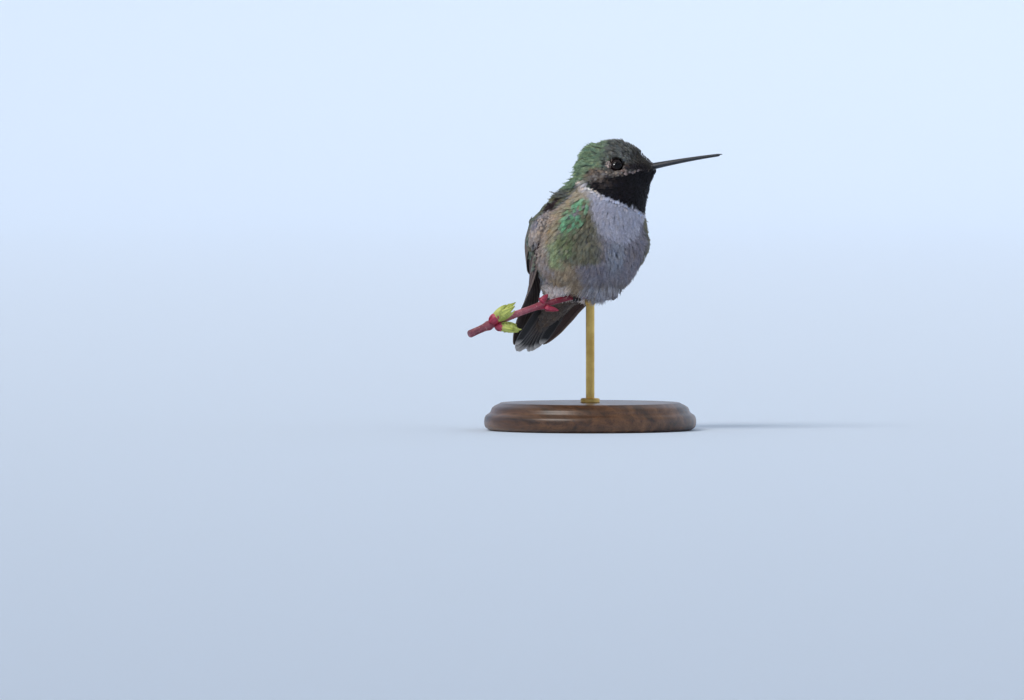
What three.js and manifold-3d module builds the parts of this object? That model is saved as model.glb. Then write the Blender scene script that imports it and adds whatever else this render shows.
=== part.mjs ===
// A male broad-tailed hummingbird, life size, fluffed up on a short cut length of maple twig.
// The twig is the perch, and a plain display stand (a turned disc and one rod) holds it up.
// Millimetres, +Z up. The origin is the centre of the stand's underside. The body faces +X and its
// left side is +Y. The head is turned to the bird's left. Solids reach out to the feather tips.
import * as THREE from 'three';
import { mergeVertices } from 'three/addons/utils/BufferGeometryUtils.js';
import Module from 'manifold-3d';

const wasm = await Module();
wasm.setup();

// ---------------------------------------------------------------- driving dimensions
const GAP = 0.12; // clearance between neighbouring solids
const BLEND = 3.6; // how softly the rounded forms of the body run into each other
const UP = new THREE.Vector3(0, 0, 1);
const LEFT = 1;
const RIGHT = -1;

const STAND = { radius: 27, height: 7, rodRadius: 1.1, feltInset: 1.5 };
// The twig runs from its tip, at the bird's left, to its cut end. Its buds are placed by their y.
const TWIG = {
  tipRadius: 0.62,
  cutRadius: 0.98,
  jointSwell: 0.32, // how much thicker the twig is where its buds sit
  line: [[1.1, 7.2, 34.3], [0.3, 2, 34.15], [-0.6, -4.4, 34], [-1.3, -10, 32.9], [-2.2, -18, 30.8],
    [-3, -27, 27.8], [-3.7, -35, 24.8]],
  pairAt: -14, // the pair of small red buds
  leavesAt: -29.3, // the pair of opening leaf buds
};
const BUDS = {
  bud_upper: { y: TWIG.pairAt - 0.3, towards: [0.2, 0.5, 0.84], length: 2.8, radius: 0.82 },
  bud_lower: { y: TWIG.pairAt + 0.4, towards: [0.5, 0.84, -0.2], length: 3.9, radius: 0.74 },
  leaves_upper: { y: TWIG.leavesAt, towards: [0.4, 0.7, 0.6], length: 9, radius: 1.75 },
  leaves_lower: { y: TWIG.leavesAt + 1.2, towards: [0.5, 0.84, -0.2], length: 7.4, radius: 1.65 },
};

const HEAD = { centre: [9, 1.2, 65.5], turn: 47 };
const BILL = { root: 8.2, rootHeight: 1.35, bend: 18, bendHeight: 3.55, tip: 27.6, tipHeight: 4.75 };
const EYE = { radius: 1.85, forward: 1.5, out: 5.55, up: 2.1 };
const FEET = {
  spread: 4.2, // how far along the twig each foot stands from the middle
  hip: [-1.6, 0, 5], // from the ankle up into the feathers
  legRadius: 0.45,
  toeRadius: 0.3,
  // each toe's shift along the twig, and how far round the twig it goes in degrees, forwards when positive
  toes: [[-0.9, 200], [0, 215], [0.9, 200], [0.1, -170]],
};
const TAIL = {
  root: [-8, 0, 38.2],
  slope: 41.3, // degrees below the horizontal
  length: 28.4,
  thickness: 0.5,
  step: 0.13, // how far each feather lies below the one above it
  sag: 0.012, // how much the fan droops at its sides
  shorter: [0.7, 0, 0.4, 1.6, 3.4], // how much each feather falls short, from the middle pair out
};
const WING = {
  // the leading edge of the folded right wing, from the bend to the tip; the left wing is its mirror image
  edge: [[2, -13.6, 55.8], [-2.2, -14.4, 48.4], [-10.6, -11.2, 38], [-14.8, -9.9, 33.7],
    [-19.4, -8.4, 29.3], [-23.9, -6.8, 24.6], [-27.6, -4.9, 20.9]],
  acrossAtBend: [-0.78, 0.12, 0.62],
  acrossAtTip: [-0.12, 0.9, 0.42], // the tips lie over the tail like a roof
  turning: [0.32, 0.82], // the shares of the edge between which the wing turns from one to the other
  bodyRadius: 15, // how the wing curves round the body
  freeRadius: 26, // and how it flattens towards its tip
  thickness: 0.7,
  step: 0.05, // how far each flight feather lies over the one before it
  primaries: [0, 0.8, 3.2, 6.6, 10.2, 14], // how much each falls short of the wing's tip
  secondaries: [26, 24, 21.5], // how far along the edge each one's tip reaches
};

// Rounded forms whose smooth union is the plumage's outer surface. half gives the half-lengths along the
// form's own long axis, to its sides and through its depth; lean raises the long axis above the horizontal.
const TRUNK_FORMS = [
  { centre: [-0.5, 0, 48.7], half: [16.2, 15, 14.4], lean: 60 }, // breast and back
  { centre: [2.8, 0, 44.3], half: [10.9, 11.2, 9.8], lean: 84 }, // belly
  { centre: [-9, 0, 40.2], half: [9.3, 8.6, 6.4], lean: 42 }, // rump
  { centre: [-2.4, 5.2, 38.6], half: [4.6, 3.8, 3.6], lean: 60 }, // loose feathers of the left leg
  { centre: [-2.4, -5.2, 38.6], half: [4.6, 3.8, 3.6], lean: 60 }, // loose feathers of the right leg
];
const NECK_FORMS = [{ centre: [5.4, 0.4, 57.4], half: [9.4, 9.2, 9.2], lean: 66 }];
// The head's forms are placed in its own frame: forwards, to its left, and up from HEAD.centre.
const HEAD_FORMS = [
  { centre: [-0.2, 0, 0.2], half: [8.8, 7.2, 8.4], lean: 0 }, // crown
  { centre: [-3.7, 0, -2.4], half: [6.2, 6.6, 7.2], lean: 0 }, // nape
  { centre: [5.2, 0, 1.2], half: [5.4, 3.6, 3], lean: -32 }, // forehead
  { centre: [8, 0, 1.6], half: [2.3, 1.5, 1.2], lean: -4 }, // feathers round the bill's root
  { centre: [1.9, 0, -4.8], half: [6.6, 7.1, 5.8], lean: -84 }, // throat
];

// ---------------------------------------------------------------- solids
/** A closed geometry as a manifold-3d solid, turned the right way out. */
function solid(geometry) {
  const bare = geometry.clone();
  bare.deleteAttribute('normal');
  bare.deleteAttribute('uv');
  const merged = mergeVertices(bare, 1e-4);
  const faces = [];
  for (let i = 0; i < merged.index.count; i += 3) {
    const [a, b, c] = [0, 1, 2].map((k) => merged.index.getX(i + k));
    if (a !== b && b !== c && c !== a) faces.push([a, b, c]);
  }
  const wrap = (list) => new wasm.Manifold(new wasm.Mesh({
    numProp: 3,
    vertProperties: merged.attributes.position.array,
    triVerts: new Uint32Array(list.flat()),
  }));
  const made = wrap(faces);
  return made.volume() > 0 ? made : wrap(faces.map(([a, b, c]) => [a, c, b]));
}

/** A manifold-3d solid as a geometry. */
function geometryOf(made) {
  const mesh = made.getMesh();
  const geometry = new THREE.BufferGeometry();
  geometry.setAttribute('position', new THREE.BufferAttribute(mesh.vertProperties, 3));
  geometry.setIndex(new THREE.BufferAttribute(mesh.triVerts, 1));
  const flat = geometry.toNonIndexed();
  flat.computeVertexNormals();
  return flat;
}

/** A closed body of rings at t from 0 to 1: place(t, c, s) places each point (c, s) of a unit circle. */
function swept(place, along, around) {
  const geometry = new THREE.CylinderGeometry(1, 1, 1, around, along);
  const at = geometry.attributes.position;
  for (let i = 0; i < at.count; i++) {
    const p = place(at.getY(i) + 0.5, at.getX(i), at.getZ(i));
    at.setXYZ(i, p.x, p.y, p.z);
  }
  return solid(geometry);
}

/** Like swept, but four-sided: the section's corners (c, s) are (1, 1), (1, -1), (-1, -1) and (-1, 1). */
const slab = (place, along) => swept((t, c, s) => place(t, c + s, s - c), along, 4);

/** A round body along a curve, with its radius as a function of t. */
function limb(curve, radius, along, around, side = UP) {
  return swept((t, c, s) => {
    const ahead = curve.getTangentAt(t);
    const across = new THREE.Vector3().crossVectors(ahead, side).normalize();
    const up = new THREE.Vector3().crossVectors(across, ahead);
    return curve.getPointAt(t).addScaledVector(across, c * radius(t)).addScaledVector(up, s * radius(t));
  }, along, around);
}

const vector = (list) => new THREE.Vector3(...list);
const curveOf = (points) => new THREE.CatmullRomCurve3(points.map(vector), false, 'centripetal');
const mix = (a, b, t) => a + (b - a) * t;
const smooth = (low, high, x) => THREE.MathUtils.smoothstep(x, low, high);

// ---------------------------------------------------------------- the body's surface
/** A form with its centre and turning in the part's frame. */
function inPart(form, frame = { centre: [0, 0, 0], turn: 0 }) {
  const turn = THREE.MathUtils.degToRad(frame.turn);
  const centre = vector(form.centre).applyAxisAngle(UP, turn).add(vector(frame.centre));
  const raised = THREE.MathUtils.degToRad(form.lean);
  const lean = new THREE.Quaternion().setFromAxisAngle(new THREE.Vector3(0, -1, 0), raised);
  const turned = new THREE.Quaternion().setFromAxisAngle(UP, turn).multiply(lean);
  return { centre, half: vector(form.half), back: turned.invert() };
}

const FORMS = [
  ...TRUNK_FORMS.map((f) => inPart(f)),
  ...NECK_FORMS.map((f) => inPart(f)),
  ...HEAD_FORMS.map((f) => inPart(f, HEAD)),
];

/** About how far p lies outside one form, in millimetres. */
function outside(form, p) {
  const q = p.clone().sub(form.centre).applyQuaternion(form.back);
  const near = q.clone().divide(form.half).length();
  const steep = q.clone().divide(form.half).divide(form.half).length();
  return steep < 1e-9 ? -Math.min(...form.half.toArray()) : near * (near - 1) / steep;
}

/** How far p lies outside the whole plumage, with the forms run together. */
function outsideBody(p) {
  return FORMS.map((f) => outside(f, p)).reduce((a, b) => {
    const h = Math.max(BLEND - Math.abs(a - b), 0) / BLEND;
    return Math.min(a, b) - h * h * BLEND / 4;
  });
}

/** The part of the body that a ray from centre meets first, and that lies between the given planes. */
function bodyPart(centre, detail, planes) {
  const reach = 4; // how far past a plane the rays go before the plane cuts them
  const geometry = new THREE.IcosahedronGeometry(1, detail);
  const at = geometry.attributes.position;
  for (let i = 0; i < at.count; i++) {
    const ray = new THREE.Vector3().fromBufferAttribute(at, i).normalize();
    let limit = 40;
    for (const { point, normal } of planes) {
      const towards = ray.dot(normal);
      const room = point.clone().sub(centre).dot(normal) + reach;
      if (towards > 1e-6) limit = Math.min(limit, room / towards);
    }
    let inner = 0;
    while (inner < limit && outsideBody(centre.clone().addScaledVector(ray, inner)) < 0) inner += 0.5;
    let outer = Math.min(inner, limit);
    inner = Math.max(outer - 0.5, 0);
    for (let k = 0; k < 14; k++) {
      const middle = (inner + outer) / 2;
      if (outsideBody(centre.clone().addScaledVector(ray, middle)) < 0) inner = middle;
      else outer = middle;
    }
    at.setXYZ(i, ...centre.clone().addScaledVector(ray, inner).toArray());
  }
  return planes.reduce((made, plane) => made.subtract(beyond(plane)), solid(geometry));
}

/** A large block on the far side of a plane, which its normal points to. */
function beyond({ point, normal }) {
  const size = 120;
  const block = new THREE.BoxGeometry(size, size, size);
  block.applyQuaternion(new THREE.Quaternion().setFromUnitVectors(UP, normal));
  const middle = point.clone().addScaledVector(normal, size / 2);
  return solid(block.translate(...middle.toArray()));
}

/** A plane through point, and the same one facing back across the gap. */
function cutAt(point, normal) {
  const n = vector(normal).normalize();
  return {
    below: { point: vector(point).addScaledVector(n, -GAP / 2), normal: n },
    above: { point: vector(point).addScaledVector(n, GAP / 2), normal: n.clone().negate() },
  };
}

// ---------------------------------------------------------------- feathers
/** A flat feather blade; place(s, q, n) takes millimetres along, across and outwards to the frame. */
function blade(place, { root, tip, half, layer, thickness, bow = 0, sections = 4 }) {
  const tipHalf = 0.15; // half the width that is left at the very tip
  return slab((t, c, s) => {
    const share = 1 - Math.pow(1 - t, 1.15); // more sections towards the tip
    const width = half * Math.min(1, share * 4 + 0.3) * Math.pow(1 - Math.pow(share, 6), 0.6) + tipHalf;
    const cross = mix(root[1], tip[1], share) + bow * Math.sin(Math.PI * share);
    return place(mix(root[0], tip[0], share), cross + c * width, layer + s * (thickness / 2));
  }, sections);
}

// ---------------------------------------------------------------- tail
const tailSlope = THREE.MathUtils.degToRad(TAIL.slope);
const tailAhead = new THREE.Vector3(-Math.cos(tailSlope), 0, -Math.sin(tailSlope));
const tailUp = new THREE.Vector3(-Math.sin(tailSlope), 0, Math.cos(tailSlope));

/** Takes millimetres along the tail, to the left and above it to the part's frame. */
const onTail = (s, q, n) => vector(TAIL.root)
  .addScaledVector(tailAhead, s).addScaledVector(tailUp, n - TAIL.sag * q * q).setY(q);
const tailTop = TAIL.thickness / 2;
const pairStep = 0.06; // the left feather of a pair lies this much under the right one
const tailUnder = -TAIL.thickness / 2 - TAIL.step * (TAIL.shorter.length - 1) - pairStep;

/** One tail feather: rank 0 is the middle pair and rank 4 the outermost. */
function tailFeather(side, rank) {
  return blade(onTail, {
    root: [0, side * (0.4 + 0.46 * rank)],
    tip: [TAIL.length - TAIL.shorter[rank], side * (0.65 + 0.62 * rank)],
    half: 1.8 - 0.08 * rank,
    layer: -TAIL.step * rank - (side > 0 ? pairStep : 0),
    thickness: TAIL.thickness,
  });
}

/** The covert feathers over (1) or under (-1) the root of the tail, as one rounded wedge. */
function makeTailCoverts(upper, grow = 0) {
  const { from, to, half, deep } = upper > 0
    ? { from: 1, to: 13.5, half: 5.8, deep: 2.6 }
    : { from: 2, to: 18, half: 5.4, deep: 3 };
  const near = upper > 0 ? tailTop + GAP : tailUnder - GAP;
  return swept((t, c, s) => {
    const width = half * mix(1, 0.6, t) * Math.pow(1 - Math.pow(t, 3), 0.6) + 0.2 + grow;
    const depth = deep * (1 - t) * Math.sqrt(Math.max(0, 1 - 0.9 * c * c)) + 0.35;
    const n = s * upper > 0.01 ? near + upper * (depth * Math.abs(s) + grow) : near - upper * grow;
    return onTail(mix(from - grow, to + grow, t), c * width, n);
  }, 6, 10);
}

function makeTail() {
  const feathers = [LEFT, RIGHT].flatMap((side) => TAIL.shorter.map((_, rank) => tailFeather(side, rank)));
  return feathers.reduce((a, b) => a.add(b));
}

/** Room in the rump for the roots of the tail feathers. */
const tailRoom = () => slab((t, c, s) => {
  const [depth, half, roof] = [14, 4.8, tailTop + GAP + 0.3];
  return onTail(mix(-GAP, depth, t), c * half, s > 0 ? roof : tailUnder - GAP);
}, 2);

// ---------------------------------------------------------------- wings
const wingEdge = curveOf(WING.edge);
const wingLength = wingEdge.getLength();

/** Takes millimetres along a folded wing, back from its leading edge and outwards to the part's frame. */
function onWing(side) {
  return (s, q, n) => {
    const t = THREE.MathUtils.clamp(s / wingLength, 0, 1);
    const ahead = wingEdge.getTangentAt(t);
    const hint = vector(WING.acrossAtBend).lerp(vector(WING.acrossAtTip), smooth(...WING.turning, t));
    const across = hint.addScaledVector(ahead, -hint.dot(ahead)).normalize();
    const out = new THREE.Vector3().crossVectors(across, ahead).normalize();
    const radius = mix(WING.bodyRadius, WING.freeRadius, smooth(0.2, 0.7, t));
    const p = wingEdge.getPointAt(t).addScaledVector(ahead, s - t * wingLength);
    p.addScaledVector(across, q).addScaledVector(out, n - (q * q) / (2 * radius));
    p.y *= -side;
    return p;
  };
}

/** The same shape without the small hollows that are shut in between overlapping feathers. */
function filled(shape) {
  return shape.decompose().filter((shell) => shell.volume() > 0).reduce((a, b) => a.add(b));
}

/** The long flight feathers of the hand, from the outermost one at the leading edge inwards. */
function makePrimaries(side) {
  return WING.primaries.map((shorter, i) => blade(onWing(side), {
    root: [9.5, 1 + 1.1 * i],
    tip: [wingLength - 0.3 - shorter, 0.9 + i],
    half: 1.8,
    layer: WING.step * i,
    thickness: WING.thickness,
    bow: 0.5,
    sections: 4,
  })).reduce((a, b) => a.add(b));
}

/** The short inner flight feathers, which lie over the roots of the long ones. */
function makeSecondaries(side) {
  return WING.secondaries.map((reach, j) => blade(onWing(side), {
    root: [7, 5.6 + 1.3 * j],
    tip: [reach, 7.4 + 1.3 * j],
    half: 2,
    layer: WING.step * (WING.primaries.length + j) + WING.thickness + GAP * 3,
    thickness: WING.thickness,
  })).reduce((a, b) => a.add(b));
}

/** Everything that lies over a folded wing, so that no plumage is left standing outside it. */
function wingRoom(side) {
  const [from, to, floor, roof] = [-2.4, 38, -WING.thickness / 2 - GAP, 9];
  return slab((t, c, s) => {
    const open = Math.sqrt(Math.min(1, (t + 0.01) / 0.12)); // the room opens out behind the bend
    const [low, high] = [mix(3.6, -1.2, open), mix(4, mix(9.6, 13, smooth(0, 0.4, t)), open)];
    return onWing(side)(mix(from, to, t), mix(low, high, c / 2 + 0.5), s > 0 ? roof : floor);
  }, 10);
}

/** The bend of the wing with its rows of small covert feathers, as one rounded shield. */
function makeCoverts(side, grow = 0) {
  return swept((t, c, s) => {
    const round = Math.sqrt(Math.max(0, 1 - Math.pow(Math.abs(2 * t - 1), 2.6))) + 0.04;
    const width = 4.6 * round + grow;
    const deep = (s > 0 ? 1.6 : 0.6) * round + grow;
    return onWing(side)(mix(-1.8 - grow, 17 + grow, t), mix(3.6, 5.6, t) + c * width, s * deep);
  }, 7, 10);
}

// ---------------------------------------------------------------- perch
const twigLine = curveOf(TWIG.line);

/** The share of the twig's length, from its tip, at which it passes y. */
function twigAt(y) {
  let [low, high] = [0, 1];
  for (let i = 0; i < 30; i++) {
    const middle = (low + high) / 2;
    if (twigLine.getPointAt(middle).y > y) low = middle;
    else high = middle;
  }
  return low;
}
const gripOf = (side) => twigAt(side * FEET.spread);
const joints = [TWIG.pairAt, TWIG.leavesAt].map(twigAt);
const twigRadius = (t) => mix(TWIG.tipRadius, TWIG.cutRadius, t)
  + joints.reduce((sum, joint) => sum + TWIG.jointSwell * Math.exp(-Math.pow((t - joint) / 0.02, 2)), 0);

const makeTwig = (grow = 0) => limb(twigLine, (t) => twigRadius(t) + grow, 26, 8);

/** A bud: a drop-shaped body that leaves the side of the twig it leans to. */
function makeBud({ y, towards, length, radius }) {
  const along = twigAt(y);
  const ahead = twigLine.getTangentAt(along);
  const lean = vector(towards).normalize();
  const side = lean.clone().addScaledVector(ahead, -lean.dot(ahead)).normalize();
  const foot = twigLine.getPointAt(along).addScaledVector(side, twigRadius(along));
  const curve = new THREE.LineCurve3(foot, foot.clone().addScaledVector(lean, length));
  const drop = (t) => radius * Math.pow(Math.sin(Math.PI * Math.pow(mix(0.05, 1, t), 0.9)), 0.8) + 0.03;
  return limb(curve, drop, 7, 8).subtract(makeTwig(GAP));
}

// ---------------------------------------------------------------- feet
/** A toe that starts on top of the twig, shifted along it, and closes round it by turn degrees. */
function makeToe(side, shift, turn) {
  const grip = gripOf(side);
  const ahead = twigLine.getTangentAt(grip);
  const forward = new THREE.Vector3().crossVectors(ahead, UP).normalize().multiplyScalar(-1);
  const up = new THREE.Vector3().crossVectors(ahead, forward).normalize();
  if (up.z < 0) up.negate();
  const middle = twigLine.getPointAt(grip);
  const away = twigRadius(grip) + FEET.toeRadius + GAP;
  const points = [];
  for (let k = 0; k <= 6; k++) {
    const share = k / 6;
    const angle = THREE.MathUtils.degToRad(turn * share);
    const rise = share > 0.75 ? 0.25 * (share - 0.75) : 0;
    const point = middle.clone().addScaledVector(ahead, shift * Math.min(1, share * 2));
    point.addScaledVector(up, (away + rise) * Math.cos(angle));
    points.push(point.addScaledVector(forward, (away + rise) * Math.sin(angle)));
  }
  const claw = 0.72; // the claw takes up the rest of the toe
  const thin = (t) => FEET.toeRadius * (t > claw ? mix(0.85, 0.35, (t - claw) / (1 - claw)) : 1);
  return limb(new THREE.CatmullRomCurve3(points), thin, 5, 5, ahead);
}

const makeFoot = (side) => FEET.toes.map((toe) => makeToe(side, ...toe)).reduce((a, b) => a.add(b));

/** The short leg from inside the belly feathers down to the top of the foot. */
function makeLeg(side, grow = 0) {
  const middle = twigLine.getPointAt(gripOf(side));
  const ankle = middle.clone().addScaledVector(UP, TWIG.tipRadius + FEET.toeRadius * 2 + GAP + 0.25);
  const bone = new THREE.LineCurve3(ankle, ankle.clone().add(vector(FEET.hip)));
  return limb(bone, () => FEET.legRadius + grow, 2, 8, new THREE.Vector3(0, 1, 0));
}

// ---------------------------------------------------------------- head parts
const headTurn = THREE.MathUtils.degToRad(HEAD.turn);

/** Takes millimetres forwards, to the left and up from the head's centre to the part's frame. */
const onHead = (ahead, left, up) => new THREE.Vector3(ahead, left, up)
  .applyAxisAngle(UP, headTurn).add(vector(HEAD.centre));

const billLine = new THREE.QuadraticBezierCurve3(
  new THREE.Vector3(BILL.root, 0, BILL.rootHeight),
  new THREE.Vector3(BILL.bend, 0, BILL.bendHeight),
  new THREE.Vector3(BILL.tip, 0, BILL.tipHeight),
);

/** One half of the bill: upper is 1 or -1. The upper half closes over the lower one's tip. */
function makeBill(upper, grow = 0) {
  const reach = upper > 0 ? 1 : 0.96;
  const seam = upper * 0.045 - grow * upper;
  const point = 0.93; // the bill narrows to its point over what is left
  return swept((t, c, s) => {
    const u = t * reach;
    const p = billLine.getPoint(u);
    const narrow = u > point ? mix(1, 0.45, (u - point) / (1 - point)) : 1;
    const high = mix(0.86, 0.3, Math.pow(u, 0.8)) * narrow;
    const wide = mix(1.05, 0.36, Math.pow(u, 0.7)) * narrow;
    const rise = s * upper > 0 ? s * (high + grow) : 0;
    return onHead(p.x, c * (wide + grow), p.z + seam + rise);
  }, 10, 8);
}

const eyeAt = (side) => onHead(EYE.forward, side * EYE.out, EYE.up);

function makeEye(side, grow = 0) {
  const ball = new THREE.SphereGeometry(EYE.radius + grow, 12, 8);
  return solid(ball.translate(...eyeAt(side).toArray()));
}

// ---------------------------------------------------------------- stand
function makeBase() {
  const { radius, height, feltInset } = STAND;
  const profile = [
    [0, 0], [radius - feltInset, 0], [radius - 0.3, 0.8], [radius, 2], [radius - 0.3, 3.6],
    [radius - 1.5, 4.6], [radius - 2.1, 5.8], [radius - 4.2, height], [0, height],
  ].map(([x, y]) => new THREE.Vector2(x, y));
  return new THREE.LatheGeometry(profile, 32).rotateX(Math.PI / 2);
}

/** The rod, hollowed at the top so that the twig lies in it. */
function makeRod() {
  const { height, rodRadius } = STAND;
  const foot = height + GAP;
  const top = twigLine.getPointAt(gripOf(0)).z;
  const rod = new THREE.CylinderGeometry(rodRadius, rodRadius, top - foot, 16).rotateX(Math.PI / 2);
  return solid(rod.translate(0, 0, (top + foot) / 2)).subtract(makeTwig(GAP));
}

// ---------------------------------------------------------------- the object
function finish(color, roughness, metalness = 0) {
  return new THREE.MeshStandardMaterial({ color, roughness, metalness });
}
const MATERIALS = {
  green: finish(0x4a5d45, 0.6),
  grey: finish(0x7d7a80, 0.9),
  white: finish(0xa9a8b4, 0.9),
  flight: finish(0x3a3233, 0.6),
  horn: finish(0x1d1c22, 0.4),
  eye: finish(0x0b090c, 0.1),
  twig: finish(0x8e3447, 0.6),
  leaf: finish(0x9aa03c, 0.6),
  bud: finish(0xb3243f, 0.5),
  wood: finish(0x5a3a26, 0.5),
  brass: finish(0xb08d4a, 0.3, 1),
};

const object = new THREE.Group();
const [bird, perch, stand] = ['bird', 'perch', 'stand'].map((name) => {
  const group = new THREE.Group();
  group.name = name;
  object.add(group);
  return group;
});

function put(group, name, shape, material) {
  const geometry = shape.isBufferGeometry ? shape : geometryOf(shape);
  const mesh = new THREE.Mesh(geometry, material);
  mesh.name = name;
  group.add(mesh);
}

const neckCut = cutAt([4, 0, 54.8], [0.5, 0.05, 0.87]);
const headCut = cutAt([7.5, 1, 60.2], [0.45, 0.2, 0.87]);
const wingRooms = [LEFT, RIGHT].flatMap((side) => [wingRoom(side), makeCoverts(side, GAP)]);
const legsGrown = [LEFT, RIGHT].map((side) => makeLeg(side, GAP));

/** The room under the belly for the twig: its own shape, open downwards. */
function perchGroove() {
  const past = 1.5; // how far the room goes on past the twig's ends
  return swept((t, c, s) => {
    const p = twigLine.getPointAt(t).addScaledVector(twigLine.getTangentAt(t), (2 * t - 1) * past);
    const wide = TWIG.cutRadius + FEET.toeRadius * 2 + GAP * 2;
    return p.add(new THREE.Vector3(c * wide, 0, s > 0 ? s * wide : s * 9));
  }, 12, 10);
}

let trunk = bodyPart(new THREE.Vector3(-1, 0, 46.5), 6, [neckCut.below]);
const tailRooms = [tailRoom(), makeTailCoverts(1, GAP), makeTailCoverts(-1, GAP)];
const trunkRooms = [...wingRooms, ...tailRooms, perchGroove(), ...legsGrown];
for (const piece of trunkRooms) trunk = trunk.subtract(piece);
let neck = bodyPart(new THREE.Vector3(5.4, 0.6, 57.6), 5, [neckCut.above, headCut.below]);
for (const piece of wingRooms) neck = neck.subtract(piece);
let head = bodyPart(onHead(0, 0, 0), 5, [headCut.above]);
const headRooms = [makeEye(LEFT, GAP), makeEye(RIGHT, GAP), makeBill(1, GAP), makeBill(-1, GAP)];
for (const piece of headRooms) head = head.subtract(piece);

put(bird, 'trunk', trunk, MATERIALS.grey);
put(bird, 'neck', neck, MATERIALS.white);
put(bird, 'head', head, MATERIALS.green);
put(bird, 'bill_upper', makeBill(1), MATERIALS.horn);
put(bird, 'bill_lower', makeBill(-1), MATERIALS.horn);
put(bird, 'tail', makeTail(), MATERIALS.flight);
put(bird, 'tail_coverts_upper', makeTailCoverts(1), MATERIALS.green);
put(bird, 'tail_coverts_under', makeTailCoverts(-1), MATERIALS.grey);

for (const [side, word] of [[LEFT, 'left'], [RIGHT, 'right']]) {
  const shield = makeCoverts(side, GAP);
  put(bird, `eye_${word}`, makeEye(side), MATERIALS.eye);
  put(bird, `wing_${word}_coverts`, makeCoverts(side), MATERIALS.green);
  put(bird, `wing_${word}_primaries`, filled(makePrimaries(side).subtract(shield)), MATERIALS.flight);
  put(bird, `wing_${word}_secondaries`, filled(makeSecondaries(side).subtract(shield)), MATERIALS.flight);
  put(bird, `leg_${word}`, makeLeg(side), MATERIALS.horn);
  put(bird, `foot_${word}`, makeFoot(side).subtract(makeLeg(side, GAP)), MATERIALS.horn);
}

put(perch, 'perch_twig', makeTwig(), MATERIALS.twig);
put(perch, 'perch_bud_upper', makeBud(BUDS.bud_upper), MATERIALS.bud);
put(perch, 'perch_bud_lower', makeBud(BUDS.bud_lower), MATERIALS.bud);
put(perch, 'perch_leaves_upper', makeBud(BUDS.leaves_upper), MATERIALS.leaf);
put(perch, 'perch_leaves_lower', makeBud(BUDS.leaves_lower), MATERIALS.leaf);
put(stand, 'stand_base', makeBase(), MATERIALS.wood);
put(stand, 'stand_rod', makeRod(), MATERIALS.brass);

export default object;
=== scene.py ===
"""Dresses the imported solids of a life-size male broad-tailed hummingbird on its cut twig and stand.

One skin stands for the flesh of trunk, neck and head, and small feathers are laid over it tract by
tract. Wings and tail get every flight feather, and the bill, eyes, feet, twig and stand their finish.
Shapes are worked out in millimetres in the frame of the solids, and turned to metres when a piece is
made.
"""

import logging
import math
from collections.abc import Callable, Iterable
from dataclasses import dataclass, field
from enum import Enum

import bmesh
import bpy
import numpy as np
from bmesh.types import BMEdge, BMesh, BMVert
from mathutils import Matrix, Vector, noise
from mathutils.bvhtree import BVHTree
from mathutils.kdtree import KDTree

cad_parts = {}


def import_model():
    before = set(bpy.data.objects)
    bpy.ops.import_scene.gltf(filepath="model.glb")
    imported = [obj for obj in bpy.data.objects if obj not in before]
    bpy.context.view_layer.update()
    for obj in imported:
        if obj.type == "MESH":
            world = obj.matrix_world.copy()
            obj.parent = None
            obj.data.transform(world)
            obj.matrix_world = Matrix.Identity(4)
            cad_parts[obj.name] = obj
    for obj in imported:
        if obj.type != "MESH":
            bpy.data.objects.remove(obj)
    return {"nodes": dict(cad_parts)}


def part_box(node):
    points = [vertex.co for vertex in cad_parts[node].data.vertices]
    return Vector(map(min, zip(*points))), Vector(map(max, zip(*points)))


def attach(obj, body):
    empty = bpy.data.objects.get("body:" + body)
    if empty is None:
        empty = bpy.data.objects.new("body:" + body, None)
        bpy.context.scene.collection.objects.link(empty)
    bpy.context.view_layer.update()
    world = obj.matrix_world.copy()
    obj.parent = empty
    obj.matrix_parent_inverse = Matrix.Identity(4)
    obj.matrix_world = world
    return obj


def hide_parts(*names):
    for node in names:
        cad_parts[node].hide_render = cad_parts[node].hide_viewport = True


Array = np.ndarray
log = logging.getLogger("hummingbird")
MM = 0.001  # metres in a millimetre
LEFT, RIGHT = 1, -1
UP = np.array([0.0, 0.0, 1.0])
BAKE_PATCH = 0.003  # how much of the bake map one small feather takes up
SEED = 11


# ---- small tools
def linear(code: int) -> tuple[float, float, float, float]:
    """Turns an sRGB colour to the linear values that shaders take.

    Args:
        code: The colour as 0xRRGGBB.

    Returns:
        Linear red, green, blue and an alpha of 1.
    """
    parts = [((code >> shift) & 255) / 255 for shift in (16, 8, 0)]
    return (*[c / 12.92 if c <= 0.04045 else ((c + 0.055) / 1.055) ** 2.4 for c in parts], 1.0)


def tone(code: int) -> Array:
    """Returns an sRGB colour as an array of its three linear values."""
    return np.array(linear(code)[:3])


def ramp(low: float, high: float, x: Array) -> Array:
    """Rises smoothly from 0 at low to 1 at high, or falls where high is below low."""
    t = np.clip((x - low) / (high - low), 0, 1)
    return t * t * (3 - 2 * t)


def unit(v: Array) -> Array:
    """Returns vectors, along the last axis, with a length of one."""
    return v / np.maximum(np.linalg.norm(v, axis=-1, keepdims=True), 1e-12)


def flatten(v: Array, normal: Array) -> Array:
    """Returns the unit direction of v along a surface that has this unit normal."""
    return unit(v - (v * normal).sum(-1, keepdims=True) * normal)


def blend(first: Array, second: Array, share: Array) -> Array:
    """Mixes rows of colours or directions by each row's share of the second."""
    share = share[..., None]
    return first * (1 - share) + second * share


def speckle(points: Array, size: float, offset: float = 0.0) -> Array:
    """Samples smooth noise, about -1 to 1, whose lumps are about size millimetres across."""
    return np.array([noise.noise(Vector(p)) for p in points / size + offset])


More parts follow.
